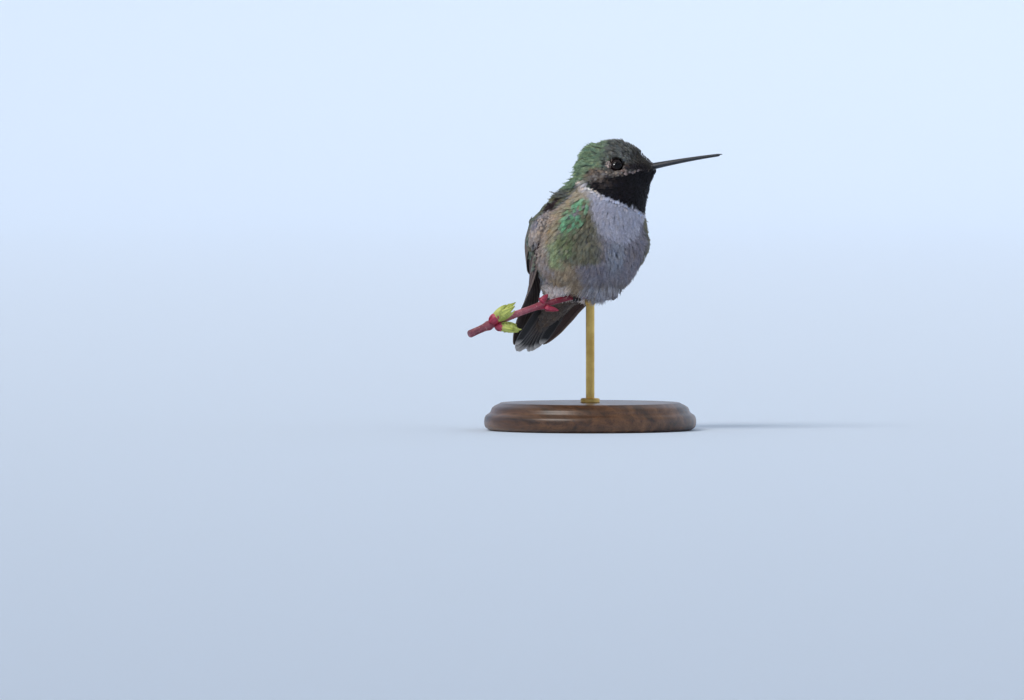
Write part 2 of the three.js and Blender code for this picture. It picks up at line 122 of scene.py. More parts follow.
class Curve:
    """A centripetal Catmull-Rom curve through a few points, measured by its length."""

    def __init__(self, points: Iterable[Iterable[float]]) -> None:
        """Samples the curve.

        Args:
            points: The points in millimetres.
        """
        p = np.array(list(points), float)
        p = np.vstack([2 * p[0] - p[1], p, 2 * p[-1] - p[-2]])
        rows = []
        for a, b, c, d in zip(p[:-3], p[1:-2], p[2:-1], p[3:]):
            ta, tb, tc, td = np.cumsum([0, *[np.linalg.norm(v) ** 0.5 for v in (b - a, c - b, d - c)]])
            for t in np.linspace(tb, tc, 60, endpoint=False):
                ab = ((tb - t) * a + (t - ta) * b) / (tb - ta)
                bc = ((tc - t) * b + (t - tb) * c) / (tc - tb)
                cd = ((td - t) * c + (t - tc) * d) / (td - tc)
                left = ((tc - t) * ab + (t - ta) * bc) / (tc - ta)
                right = ((td - t) * bc + (t - tb) * cd) / (td - tb)
                rows.append(((tc - t) * left + (t - tb) * right) / (tc - tb))
        self.points = np.array([*rows, p[-2]])
        steps = np.linalg.norm(np.diff(self.points, axis=0), axis=1)
        self.measure = np.concatenate([[0], np.cumsum(steps)])
        self.length = float(self.measure[-1])

    def at(self, s: Array) -> Array:
        """Returns the points that lie s millimetres along the curve."""
        return np.stack([np.interp(s, self.measure, self.points[:, k]) for k in range(3)], -1)

    def ahead(self, s: Array) -> Array:
        """Returns the curve's unit direction s millimetres along it."""
        s = np.clip(s, 0.05, self.length - 0.05)
        return unit(self.at(s + 0.05) - self.at(s - 0.05))

    def where(self, axis: int, value: float) -> float:
        """Returns how far along the curve one coordinate, which falls all the way, reaches a value."""
        return float(np.interp(-value, -self.points[:, axis], self.measure))


def set_sockets(tree: bpy.types.NodeTree, node: bpy.types.Node, sockets: dict) -> None:
    """Gives a node's inputs their values and links.

    Args:
        tree: The material's tree.
        node: The node.
        sockets: What each input, by name or number, gets: a value, an output, or a node, which stands
            for its first output.
    """
    for name, value in sockets.items():
        if isinstance(value, bpy.types.Node):
            value = value.outputs[0]
        if isinstance(value, bpy.types.NodeSocket):
            tree.links.new(value, node.inputs[name])
        else:
            node.inputs[name].default_value = value


def add_node(tree: bpy.types.NodeTree, kind: str, sockets: dict | None = None,
             stops: tuple[tuple[float, int], ...] = (), **settings: object) -> bpy.types.Node:
    """Adds a node to a material.

    Args:
        tree: The material's tree.
        kind: The node's type, without the prefix that all shader nodes share.
        sockets: What its inputs get, as for set_sockets.
        stops: A Color Ramp's places and sRGB colours, in order.
        settings: Values for the node's own properties.

    Returns:
        The new node.
    """
    made = tree.nodes.new("ShaderNode" + kind)
    for name, value in settings.items():
        setattr(made, name, value)
    set_sockets(tree, made, sockets or {})
    if stops:
        elements = made.color_ramp.elements
        while len(elements) < len(stops):
            elements.new(0.5)
        for element, (place, code) in zip(elements, stops):
            element.position = place
            element.color = linear(code)
    return made


# ---- finishes
@dataclass(frozen=True)
class Surface:
    """What all finishes share: a name, and a material that is made once."""

    name: str

    def build(self, tree: bpy.types.NodeTree) -> dict:
        """Adds the finish's own nodes and returns what the shader's sockets get."""
        raise NotImplementedError

    def material(self) -> bpy.types.Material:
        """Returns the finish's material, made on its first use."""
        material = bpy.data.materials.get(self.name)
        if material is None:
            material = bpy.data.materials.new(self.name)
            material.use_nodes = True
            tree = material.node_tree
            set_sockets(tree, tree.nodes["Principled BSDF"], self.build(tree))
        return material


@dataclass(frozen=True)
class PlumeFinish(Surface):
    """Feather keratin, as grown. Barbs run out from the shaft at a slant; their fine lines are painted
    highlight and shade in the colour, and a bump as well.
    """

    roughness: float = 0.75
    gloss_roughness: float = 0.36
    metal: float = 0.55
    sheen: float = 0.05
    specular: float = 0.12
    barb_mm: float = 0.34  # real barbs stand about 0.12 mm apart, too fine to show, so each line is three
    barb_depth: float = 0.22
    bump_mm: float = 0.02

    def build(self, tree: bpy.types.NodeTree) -> dict:
        """Reads each vane's own tint and gloss, and its measure across and along."""
        tint = add_node(tree, "Attribute", attribute_name="Tint")
        gloss = add_node(tree, "Attribute", attribute_name="Gloss").outputs["Fac"]
        vane = add_node(tree, "Attribute", attribute_name="Vane").outputs["Vector"]
        split = add_node(tree, "SeparateXYZ", {0: vane})
        across = add_node(tree, "Math", {0: split}, operation="ABSOLUTE")
        slant = add_node(tree, "Math", {0: across, 1: -1.3, 2: split.outputs[1]}, operation="MULTIPLY_ADD")
        turns = add_node(tree, "Math", {0: slant, 1: 2 * math.pi / self.barb_mm}, operation="MULTIPLY")
        wave = add_node(tree, "Math", {0: turns}, operation="SINE")
        # painted highlight and shade: the barb lines lighten and darken the feather's colour
        shade = add_node(tree, "MapRange", {"Value": wave, "From Min": -1.0, "From Max": 1.0,
                                            "To Min": 1 - self.barb_depth,
                                            "To Max": 1 + self.barb_depth * 0.6})
        place = add_node(tree, "TexCoord").outputs["Object"]
        grain = add_node(tree, "TexNoise", {"Vector": place, "Scale": 1 / (0.5 * MM), "Detail": 3.0})
        uneven = add_node(tree, "MapRange", {"Value": grain, "From Min": 0.3, "From Max": 0.7,
                                             "To Min": 0.82, "To Max": 1.18})
        both = add_node(tree, "Math", {0: shade, 1: uneven}, operation="MULTIPLY")
        colour = add_node(tree, "VectorMath", {0: tint, "Scale": both}, operation="SCALE")
        shine = add_node(tree, "Math", {0: gloss, 1: self.metal}, operation="MULTIPLY")
        rough = add_node(tree, "MapRange", {"Value": gloss, "To Min": self.roughness,
                                            "To Max": self.gloss_roughness})
        bump = add_node(tree, "Bump", {"Height": wave, "Strength": 0.5, "Distance": self.bump_mm * MM})
        return {"Base Color": colour, "Metallic": shine, "Roughness": rough, "IOR": 1.54,
                "Specular IOR Level": self.specular, "Sheen Weight": self.sheen,
                "Sheen Roughness": 0.6, "Normal": bump}


@dataclass(frozen=True)
class SkinFinish(Surface):
    """Thin dark skin and the down on it, seen only between the feathers: matt, in the feathers' colours."""

    name: str = "skin_under_down"

    def build(self, tree: bpy.types.NodeTree) -> dict:
        """Reads the same markings as the feathers."""
        tint = add_node(tree, "Attribute", attribute_name="Tint")
        place = add_node(tree, "TexCoord").outputs["Object"]
        down = add_node(tree, "TexNoise", {"Vector": place, "Scale": 1 / (0.35 * MM), "Detail": 4.0})
        uneven = add_node(tree, "MapRange", {"Value": down, "From Min": 0.3, "From Max": 0.7,
                                             "To Min": 0.7, "To Max": 1.15})
        colour = add_node(tree, "VectorMath", {0: tint, "Scale": uneven}, operation="SCALE")
        bump = add_node(tree, "Bump", {"Height": down, "Strength": 0.6, "Distance": 0.1 * MM})
        return {"Base Color": colour, "Roughness": 0.9, "Normal": bump}


@dataclass(frozen=True)
class HornFinish(Surface):
    """Black keratin of the bill, toes and claws: smooth and hard, with fine streaks along its growth."""

    colour: int
    pale_streak: int
    roughness: float = 0.34
    specular: float = 0.3
    streak_mm: float = 0.25

    def build(self, tree: bpy.types.NodeTree) -> dict:
        """Streaks follow the piece's own Vane measure: around, and along."""
        vane = add_node(tree, "Attribute", attribute_name="Vane").outputs["Vector"]
        drawn = add_node(tree, "Mapping", {"Vector": vane, "Scale": (1 / self.streak_mm,
                                                                     0.12 / self.streak_mm, 1.0)})
        streak = add_node(tree, "TexNoise", {"Vector": drawn, "Scale": 1.0, "Detail": 4.0})
        tint = add_node(tree, "ValToRGB", {"Fac": streak}, ((0.35, self.colour), (0.75, self.pale_streak)))
        rough = add_node(tree, "MapRange", {"Value": streak, "To Min": self.roughness - 0.08,
                                            "To Max": self.roughness + 0.16})
        bump = add_node(tree, "Bump", {"Height": streak, "Strength": 0.35, "Distance": 0.03 * MM})
        return {"Base Color": tint, "Roughness": rough, "Specular IOR Level": self.specular,
                "Normal": bump}


@dataclass(frozen=True)
class EyeFinish(Surface):
    """The wet front of a dark brown eye: black pupil, narrow brown iris, clear tear film over both."""

    name: str = "wet_eye"
    pupil: float = 0.62  # the pupil's edge, as a share of the iris
    iris: int = 0x0C0707

    def build(self, tree: bpy.types.NodeTree) -> dict:
        """Reads how far each point lies from the eye's axis."""
        ring = add_node(tree, "Attribute", attribute_name="Ring").outputs["Fac"]
        tint = add_node(tree, "ValToRGB", {"Fac": ring}, (
            (0.0, 0x030203), (self.pupil - 0.03, 0x040304), (self.pupil + 0.03, self.iris),
            (0.95, 0x090506)))
        return {"Base Color": tint, "Roughness": 0.2, "IOR": 1.38, "Specular IOR Level": 0.05,
                "Coat Weight": 0.4, "Coat Roughness": 0.02, "Coat IOR": 1.45}


@dataclass(frozen=True)
class LidFinish(Surface):
    """Bare wrinkled skin of the eyelids: greyish buff, matt, darker in its folds."""

    name: str = "eyelid_skin"
    colour: int = 0x453B36

    def build(self, tree: bpy.types.NodeTree) -> dict:
        """Gloss holds how near each point is to the lower lid, which is paler."""
        place = add_node(tree, "TexCoord").outputs["Object"]
        fold = add_node(tree, "TexNoise", {"Vector": place, "Scale": 1 / (0.22 * MM), "Detail": 3.0})
        lower = add_node(tree, "Attribute", attribute_name="Gloss").outputs["Fac"]
        both = add_node(tree, "Math", {0: lower, 1: 0.45, 2: fold}, operation="MULTIPLY_ADD")
        tint = add_node(tree, "ValToRGB", {"Fac": both}, ((0.45, 0x110E0E), (0.95, self.colour)))
        bump = add_node(tree, "Bump", {"Height": fold, "Strength": 0.6, "Distance": 0.06 * MM})
        return {"Base Color": tint, "Roughness": 0.55, "Normal": bump}


@dataclass(frozen=True)
class BarkFinish(Surface):
    """Smooth young maple bark: thin, waxy, red where it is youngest, with pale pores, and pale pink streaks
    that are partly peeling skin and partly a painted highlight.
    """

    name: str = "young_maple_bark"
    young: int = 0x8E1F35
    old: int = 0x7E3C48
    # the pale pink of the streaks: partly peeling skin, partly painted highlight
    pale_streak: int = 0xD79A98
    pore_mm: float = 0.9

    def build(self, tree: bpy.types.NodeTree) -> dict:
        """Vane holds the millimetres around and along the twig, and Gloss its age."""
        vane = add_node(tree, "Attribute", attribute_name="Vane").outputs["Vector"]
        age = add_node(tree, "Attribute", attribute_name="Gloss").outputs["Fac"]
        place = add_node(tree, "TexCoord").outputs["Object"]
        youth = add_node(tree, "ValToRGB", {"Fac": age}, (
            (0.0, self.young), (0.3, 0x881630), (0.48, 0x8E2038), (0.62, 0xAF5C68), (1.0, self.old)))
        mottle = add_node(tree, "TexNoise", {"Vector": place, "Scale": 1 / (1.4 * MM), "Detail": 5.0})
        drawn = add_node(tree, "Mapping", {"Vector": vane, "Scale": (1.6, 0.22, 1.0)})
        # pale pink streaks along the twig: partly peeling skin, partly painted highlight
        peel_and_painted_highlight = add_node(tree, "TexNoise", {"Vector": drawn, "Scale": 1.0, "Detail": 5.0,
                                           "Roughness": 0.6})
        high = add_node(tree, "MapRange", {"Value": peel_and_painted_highlight, "From Min": 0.52, "From Max": 0.72,
                                           "To Min": 0.0, "To Max": 0.62})
        tint = add_node(tree, "Mix", {"Factor": high, "A": youth, "B": linear(self.pale_streak)},
                        data_type="RGBA").outputs["Result"]
        dark = add_node(tree, "MapRange", {"Value": mottle, "From Min": 0.3, "From Max": 0.7,
                                           "To Min": 0.7, "To Max": 1.2})
        colour = add_node(tree, "VectorMath", {0: tint, "Scale": dark}, operation="SCALE")
        pores = add_node(tree, "TexVoronoi", {"Vector": vane, "Scale": 1 / self.pore_mm}, feature="F1")
        dot = add_node(tree, "MapRange", {"Value": pores, "From Min": 0.1, "From Max": 0.2,
                                          "To Min": 0.75, "To Max": 0.0})
        spotted = add_node(tree, "Mix", {"Factor": dot, "A": colour, "B": linear(0xC9A08F)},
                           data_type="RGBA").outputs["Result"]
        raised = add_node(tree, "Math", {0: peel_and_painted_highlight, 1: dot}, operation="ADD")
        bump = add_node(tree, "Bump", {"Height": raised, "Strength": 0.7, "Distance": 0.08 * MM})
        return {"Base Color": spotted, "Roughness": 0.45, "Coat Weight": 0.15, "Coat Roughness": 0.3,
                "Normal": bump}


@dataclass(frozen=True)
class LeafFinish(Surface):
    """Living bud scales and new leaves: waxy, a little translucent, veined, darker in the folds."""

    deep: int
    light: int
    roughness: float = 0.42
    vein_mm: float = 0.5

    def build(self, tree: bpy.types.NodeTree) -> dict:
        """Vane holds the millimetres across and along a scale or leaf, and Gloss its shade."""
        vane = add_node(tree, "Attribute", attribute_name="Vane").outputs["Vector"]
        shade = add_node(tree, "Attribute", attribute_name="Gloss").outputs["Fac"]
        drawn = add_node(tree, "Mapping", {"Vector": vane, "Scale": (1 / self.vein_mm,
                                                                     0.25 / self.vein_mm, 1.0)})
        veins = add_node(tree, "TexNoise", {"Vector": drawn, "Scale": 1.0, "Detail": 4.0})
        mixed = add_node(tree, "Math", {0: veins, 1: 0.7, 2: shade}, operation="MULTIPLY_ADD")
        tint = add_node(tree, "ValToRGB", {"Fac": mixed}, ((0.3, self.deep), (1.0, self.light)))
        bump = add_node(tree, "Bump", {"Height": veins, "Strength": 0.6, "Distance": 0.06 * MM})
        return {"Base Color": tint, "Roughness": self.roughness, "Subsurface Weight": 0.15,
                "Subsurface Radius": (0.6 * MM, 0.5 * MM, 0.2 * MM), "Subsurface Scale": 1.0,
                "Normal": bump}


@dataclass(frozen=True)
class WalnutFinish(Surface):
    """Turned and oiled walnut: growth rings cut across by the disc, open pores drawn along the grain."""

    name: str = "oiled_walnut"
    dark: int = 0x34200F
    mid: int = 0x5B3B23
    light: int = 0x7C5535
    ring_mm: float = 3.2
    pore_mm: float = 0.35
    lie: tuple[float, float, float] = (0.05, 0.09, 0.5)  # how the plank's grain is turned

    def build(self, tree: bpy.types.NodeTree) -> dict:
        """Lays the grain along X."""
        place = add_node(tree, "TexCoord").outputs["Object"]
        ring, pore = 1 / (self.ring_mm * MM), 1 / (self.pore_mm * MM)
        along = add_node(tree, "Mapping", {"Vector": place, "Rotation": self.lie,
                                           "Scale": (0.16 / (self.ring_mm * MM), ring, ring)})
        rings = add_node(tree, "TexNoise", {"Vector": along, "Scale": 1.0, "Detail": 6.0,
                                            "Roughness": 0.55, "Distortion": 0.6})
        tint = add_node(tree, "ValToRGB", {"Fac": rings}, (
            (0.32, self.dark), (0.5, self.mid), (0.7, self.light)))
        fine = add_node(tree, "Mapping", {"Vector": place, "Rotation": self.lie,
                                          "Scale": (0.07 / (self.pore_mm * MM), pore, pore)})
        pores = add_node(tree, "TexNoise", {"Vector": fine, "Scale": 1.0, "Detail": 2.0})
        deep = add_node(tree, "MapRange", {"Value": pores, "From Min": 0.3, "From Max": 0.5,
                                           "To Min": 0.6, "To Max": 1.0})
        colour = add_node(tree, "VectorMath", {0: tint, "Scale": deep}, operation="SCALE")
        bump = add_node(tree, "Bump", {"Height": deep, "Strength": 0.4, "Distance": 0.05 * MM})
        return {"Base Color": colour, "Roughness": 0.38, "Coat Weight": 0.2, "Coat Roughness": 0.25,
                "Normal": bump}


@dataclass(frozen=True)
class BrassFinish(Surface):
    """Drawn brass rod, rubbed with fine paper: soft lines round it and a slightly tarnished tone."""

    name: str = "satin_brass"
    bright: int = 0xD9B56A
    dull: int = 0xC09A55
    line_mm: float = 0.12

    def build(self, tree: bpy.types.NodeTree) -> dict:
        """Draws the rubbed lines round the upright rod."""
        place = add_node(tree, "TexCoord").outputs["Object"]
        tarnish = add_node(tree, "TexNoise", {"Vector": place, "Scale": 1 / (3 * MM), "Detail": 4.0})
        tint = add_node(tree, "ValToRGB", {"Fac": tarnish}, ((0.35, self.dull), (0.65, self.bright)))
        line = self.line_mm * MM
        drawn = add_node(tree, "Mapping", {"Vector": place, "Scale": (0.1 / line, 0.1 / line, 1 / line)})
        lines = add_node(tree, "TexNoise", {"Vector": drawn, "Scale": 1.0, "Detail": 2.0})
        rough = add_node(tree, "MapRange", {"Value": lines, "To Min": 0.22, "To Max": 0.42})
        bump = add_node(tree, "Bump", {"Height": lines, "Strength": 0.2, "Distance": 0.02 * MM})
        return {"Base Color": tint, "Roughness": rough, "Metallic": 1.0, "Normal": bump}


@dataclass(frozen=True)
class PaperFinish(Surface):
    """Matt studio paper, even in colour."""

    name: str = "matt_paper"
    colour: int = 0xDBE7F5

    def build(self, tree: bpy.types.NodeTree) -> dict:
        """Sets the shader alone, as paper has no detail at this distance."""
        return {"Base Color": linear(self.colour), "Roughness": 0.95}


class Finish(Enum):
    """Every finish of the bird, its perch and its stand."""

    PLUME = PlumeFinish("small_feathers")
    VANE = PlumeFinish("flight_feathers", roughness=0.55, gloss_roughness=0.4, metal=0.25, sheen=0.0,
                       specular=0.16, barb_mm=0.42, barb_depth=0.16, bump_mm=0.03)
    SKIN = SkinFinish()
    BILL = HornFinish("bill_horn", 0x101217, 0x343841, 0.3, 0.6)
    TOE = HornFinish("toe_scales", 0x1A171A, 0x3E3637, 0.5)
    CLAW = HornFinish("claw_horn", 0x2B2524, 0x8F8378, 0.3)
    EYE = EyeFinish()
    LID = LidFinish()
    BARK = BarkFinish()
    BUD = LeafFinish("red_bud_scales", 0x7A1026, 0xCC4660, 0.4)
    LEAF = LeafFinish("new_leaves", 0x6E7A25, 0xD6DB72, 0.45)
    WALNUT = WalnutFinish()
    BRASS = BrassFinish()


# ---- making pieces
def mesh_from(name: str, bm: BMesh, smooth_angle: float = 40.0) -> bpy.types.Mesh:
    """Turns a bmesh in millimetres into a mesh in metres and frees it.

    Args:
        name: The mesh's name.
        bm: The bmesh.
        smooth_angle: Edges sharper than this many degrees stay sharp.

    Returns:
        The mesh.
    """
    bmesh.ops.scale(bm, vec=(MM, MM, MM), verts=bm.verts)
    mesh = bpy.data.meshes.new(name)
    bm.to_mesh(mesh)
    bm.free()
    mesh.set_sharp_from_angle(angle=math.radians(smooth_angle))
    return mesh


def add_piece(name: str, mesh: bpy.types.Mesh, finish: Finish, slot: str, *nodes: str) -> bpy.types.Object:
    """Puts a finished mesh into the scene as a piece of the bird or its stand.

    Args:
        name: The piece's name.
        mesh: Its mesh, in metres.
        finish: Its finish.
        slot: A slot name of the record; it is not used.
        nodes: The nodes that it stands for.

    Returns:
        The piece's object.
    """
    piece = bpy.data.objects.new(name, mesh)
    bpy.context.scene.collection.objects.link(piece)
    mesh.materials.clear()
    mesh.materials.append(finish.value.material())
    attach(piece, "root")
    if nodes:
        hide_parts(*nodes)
    log.info("%s: %d faces", name, len(mesh.polygons))
    return piece


def corners(bm: BMesh) -> Array:
    """Returns a bmesh's vertices as an array."""
    return np.array([v.co for v in bm.verts])


def move_to(bm: BMesh, points: Array) -> None:
    """Moves a bmesh's vertices, in their order, to new places and turns its faces outwards."""
    for v, p in zip(bm.verts, points):
        v.co = p
    bmesh.ops.recalc_face_normals(bm, faces=bm.faces)


def note(bm: BMesh, name: str, values: Array) -> None:
    """Gives every vertex of a bmesh a number or a vector that its material can read.

    Args:
        bm: The bmesh.
        name: The attribute's name.
        values: One number or one vector of three for each vertex, in order.
    """
    layers = bm.verts.layers
    kind = layers.float if values.ndim == 1 else layers.float_vector
    layer = kind.get(name) or kind.new(name)
    for v, value in zip(bm.verts, values):
        v[layer] = value


def thicken(bm: BMesh) -> None:
    """Closes a flat sheet into a slab whose lower side lies one below it."""
    made = bmesh.ops.extrude_face_region(bm, geom=list(bm.faces), use_keep_orig=True)["geom"]
    below = [g for g in made if isinstance(g, BMVert)]
    bmesh.ops.translate(bm, vec=(0, 0, -1), verts=below)


def slab(columns: int, rows: int) -> BMesh:
    """Makes a closed slab of one unit each way, with a grid above and below."""
    bm = bmesh.new()
    bmesh.ops.create_grid(bm, x_segments=columns, y_segments=rows, size=0.5)
    thicken(bm)
    return bm


def turned(profile: Iterable[tuple[float, float]], steps: int, closed: bool = False) -> BMesh:
    """Turns a profile round the upright axis.

    Args:
        profile: Its points as radius and height, in order.
        steps: How many sides the turning has.
        closed: Whether the profile's ends are joined too.

    Returns:
        The turned shape.
    """
    bm = bmesh.new()
    chain = [bm.verts.new((x, 0, z)) for x, z in profile]
    edges = [bm.edges.new(pair) for pair in zip(chain, chain[1:] + chain[:1] * closed)]
    bmesh.ops.spin(bm, geom=chain + edges, cent=(0, 0, 0), axis=(0, 0, 1), dvec=(0, 0, 0),
                   angle=2 * math.pi, steps=steps, use_merge=True, use_duplicate=False)
    bmesh.ops.remove_doubles(bm, verts=bm.verts, dist=1e-5)
    bmesh.ops.recalc_face_normals(bm, faces=bm.faces)
    return bm


def tube(place: Callable[[Array, Array], Array], rows: Array, sides: int,
         girth: float = 0.0, length: float = 0.0) -> BMesh:
    """Draws out a ring into a closed tube and bends it to its place.

    Args:
        place: Takes each point's share along the tube and its angle to its place in millimetres.
        rows: The share along the tube of each ring, rising.
        sides: How many sides the tube has.
        girth: What a radian round the tube measures, for the Vane that its finish reads.
        length: What the whole tube measures along, for the same; 0 leaves Vane out.

    Returns:
        The tube as a bmesh.
    """
    bm = bmesh.new()
    bmesh.ops.create_circle(bm, cap_ends=False, segments=sides, radius=1.0)
    first = edges = list(bm.edges)
    for _ in rows[1:]:
        made = bmesh.ops.extrude_edge_only(bm, edges=edges)["geom"]
        ring = [g for g in made if isinstance(g, BMVert)]
        edges = [g for g in made if isinstance(g, BMEdge) and all(v in ring for v in g.verts)]
        bmesh.ops.translate(bm, vec=(0, 0, 1), verts=ring)
    bmesh.ops.edgeloop_fill(bm, edges=first)
    bmesh.ops.edgeloop_fill(bm, edges=edges)
    flat = corners(bm)
    share = np.asarray(rows)[np.rint(flat[:, 2]).astype(int)]
    angle = np.arctan2(flat[:, 1], flat[:, 0])
    if length:
        note(bm, "Vane", np.stack([angle * girth, share * length, angle * 0], -1))
    move_to(bm, place(share, angle))
    for cap in [f for f in bm.faces if len(f.verts) > 4]:
        bmesh.ops.poke(bm, faces=[cap])
    bmesh.ops.recalc_face_normals(bm, faces=bm.faces)
    return bm


def join(parts: Iterable[BMesh]) -> BMesh:
    """Joins several bmeshes, which are freed, into one."""
    whole = bmesh.new()
    for part in parts:
        part_mesh = bpy.data.meshes.new("part")
        part.to_mesh(part_mesh)
        part.free()
        whole.from_mesh(part_mesh)
        bpy.data.meshes.remove(part_mesh)
    return whole


def around(line: Array, ahead: Array, hint: Array, angle: Array,
           wide: Array, high: Array) -> Array:
    """Places ring points round a line.

    Args:
        line: The point of the line that each ring point belongs to.
        ahead: The line's direction there.
        hint: Roughly the direction that an angle of 90 degrees faces.
        angle: Each ring point's angle.
        wide: The radius to the sides.
        high: The radius up and down.

    Returns:
        The ring points.
    """
    side = unit(np.cross(ahead, np.broadcast_to(hint, ahead.shape)))
    up = np.cross(side, ahead)
    return line + side * (np.cos(angle) * wide)[:, None] + up * (np.sin(angle) * high)[:, None]


# ---- the bird's measures
@dataclass(frozen=True)
class HeadFrame:
    """The head's own directions. It is turned to the bird's left on its shoulders."""

    centre: tuple[float, float, float] = (9.0, 1.2, 65.5)
    turn: float = 47.0

    def axes(self) -> Array:
        """Returns the rows ahead, left and up as unit vectors of the part's frame."""
        c, s = math.cos(math.radians(self.turn)), math.sin(math.radians(self.turn))
        return np.array([[c, s, 0.0], [-s, c, 0.0], [0.0, 0.0, 1.0]])

    def out(self, points: Array) -> Array:
        """Takes points given as ahead, left, up to the part's frame."""
        return np.asarray(points) @ self.axes() + np.array(self.centre)

    def into(self, points: Array) -> Array:
        """Takes points of the part's frame to ahead, left, up."""
        return (np.asarray(points) - np.array(self.centre)) @ self.axes().T


HEAD = HeadFrame()


def from_head(points: Array) -> Array:
    """Returns how far points are from the head's middle, in millimetres."""
    return np.linalg.norm(points - np.array(HEAD.centre), axis=1)


def from_bill(points: Array) -> Array:
    """Returns how far points are from the bill's root, in millimetres."""
    return np.linalg.norm(points - HEAD.out([8.6, 0, 1.2]), axis=1)


class Places:
    """Where points lie on the bird, in the measures that its markings are laid out in."""

    def __init__(self, points: Array) -> None:
        """Measures the points.

        Args:
            points: Points in millimetres.
        """
        self.points = points
        self.ahead, left, self.up = HEAD.into(points).T
        self.beside = np.abs(left)
        self.left = left
        self.z = points[:, 2]
        middle = np.interp(self.z, [40, 47, 50, 52.5, 55, 58, 62], [0, -0.5, -0.5, 1.5, 3.2, 5, 7.5])
        self.turn = np.degrees(np.arctan2(points[:, 1], points[:, 0] - middle))
        self.across = np.abs(self.turn) - (18 * (self.turn > 0) * ramp(110, 70, self.turn)
                                           * ramp(10, 30, self.turn))
        self.twist = np.interp(self.z, [52, 58, 62], [0, 20, 35])  # the neck turns with the head
        self.round = np.abs((self.turn - self.twist + 180) % 360 - 180)
        self.along_tail = (-8.0 - points[:, 0]) * 0.75 + (38.2 - self.z) * 0.66
        self.over_tail = (-8.0 - points[:, 0]) * 0.66 + (self.z - 38.2) * 0.75
        self.fine = speckle(points, 0.55)
        self.broad = speckle(points, 2.2, 40.0)

    def span(self, values: Array, low: float | Array, high: float | Array,
             soft: float) -> Array:
        """Returns 1 where values lie between low and high, falling to 0 over soft on either side."""
        return ramp(0, 1, (values - low) / soft + 0.5) * ramp(0, 1, (high - values) / soft + 0.5)


@dataclass(frozen=True)
class Marking:
    """One named patch of colour, with soft edges.

    Two colours are mixed by noise that is size millimetres across, and gloss is how metallic it looks.
    """

    name: str
    colour: int
    second: int
    where: Callable[[Places], Array]
    gloss: float = 0.0
    size: float = 0.9
    streak: float = 1.0  # how many times longer than wide the mottling is, down the body


def throat_edge(p: Places) -> Array:
    """Returns the height of the gorget's lower edge, on the head's own measures."""
    edge = np.interp(p.ahead, [-6.8, -2.3, 1.8, 4.75, 6.4, 7.6], [-2.8, -5.45, -7.3, -8.7, -9.1, -10.9])
    return edge + 0.35 * p.fine


def throat_top(p: Places) -> Array:
    """Returns the height of the gorget's upper edge, on the head's own measures."""
    return np.interp(p.ahead, [-6.5, -3.6, -0.5, 1.5, 3, 4.5, 9.9], [-2.6, -1.7, -0.8, -0.8, -0.6, -0.1, 1.0])


def cheek_top(p: Places) -> Array:
    """Returns the height of the cheek's upper edge, on the head's own measures."""
    return np.interp(p.ahead, [-7, -2, 1, 4, 6.6], [-1.0, 1.0, 1.0, 0.3, 0.8])


def on_head(p: Places) -> Array:
    """Returns 1 on the head above the gorget's lower edge and the hind neck."""
    low = np.where(p.ahead > -6.8, throat_edge(p),
                   np.interp(p.ahead, [-12, -10, -8.8, -6.8], [-6.0, -2.8, -1.8, -2.8]) + 0.5 * p.fine)
    return ramp(-0.4, 0.4, p.up - low)


def is_gorget(p: Places) -> Array:
    """Returns 1 on the gorget, the dark iridescent throat."""
    high = throat_top(p) + 0.8 * p.fine + 0.5 * p.broad
    inside = ramp(-0.25, 0.25, p.up - throat_edge(p)) * ramp(-0.35, 0.35, high - p.up)
    return inside * ramp(-7.2, -6.2, p.ahead)


def is_cheek(p: Places) -> Array:
    """Returns 1 on the cheek, between gorget and eye."""
    inside = ramp(-0.4, 0.4, p.up - throat_top(p)) * ramp(-0.6, 0.6, cheek_top(p) - p.up)
    return inside * ramp(-7.6, -6.0, p.ahead) * ramp(9.0, 7.2, p.ahead)


def near_eye(p: Places, ahead: float, up: float, wide: float, high: float) -> Array:
    """Returns 1 on an oval patch of the side of the head, fading out at its rim."""
    away = np.hypot((p.ahead - ahead) / wide, (p.up - up) / high)
    return ramp(1.15, 0.8, away) * ramp(2.0, 3.0, p.beside)


def collar_half(p: Places) -> Array:
    """Returns how many degrees the collar reaches to either side of the turned neck's front."""
    return p.twist + np.interp(p.z, [46.5, 48.3, 51.9, 55, 58, 60, 61.5, 63.5],
                               [0, 19, 32, 42, 53, 62, 76, 92])


def is_collar(p: Places) -> Array:
    """Returns 1 on the pale collar, below the gorget and wider towards the neck."""
    ragged = collar_half(p) + 5 * p.broad + 3 * p.fine
    return ramp(-5, 5, ragged - p.round) * ramp(45.5, 48.0, p.z)


def neck_side(p: Places) -> Array:
    """Returns 1 on the palest feathers, where the collar runs up the side of the neck."""
    across = p.round - collar_half(p) + 4 * p.broad
    return p.span(across, -17, 13, 7) * p.span(p.z + 0.6 * p.broad, 60.4, 65.0, 1.4)


def body_patch(low: float, high: float, bottom: float, top: float, soft: float = 9.0,
               fade: float = 1.6) -> Callable[[Places], Array]:
    """Makes a patch that lies on both sides of the body.

    Args:
        low: Where it starts, in degrees from the breast's middle.
        high: Where it ends.
        bottom: Its lower edge in millimetres above the stand's underside.
        top: Its upper edge.
        soft: How many degrees its ends fade over.
        fade: How many millimetres its lower and upper edges fade over.

    Returns:
        The patch as a function of places.
    """
    def where(p: Places) -> Array:
        across = p.across + 6 * p.broad + 3 * p.fine
        height = p.z + 0.8 * p.broad + 0.4 * p.fine
        return p.span(across, low, high, soft) * p.span(height, bottom, top, fade)
    return where


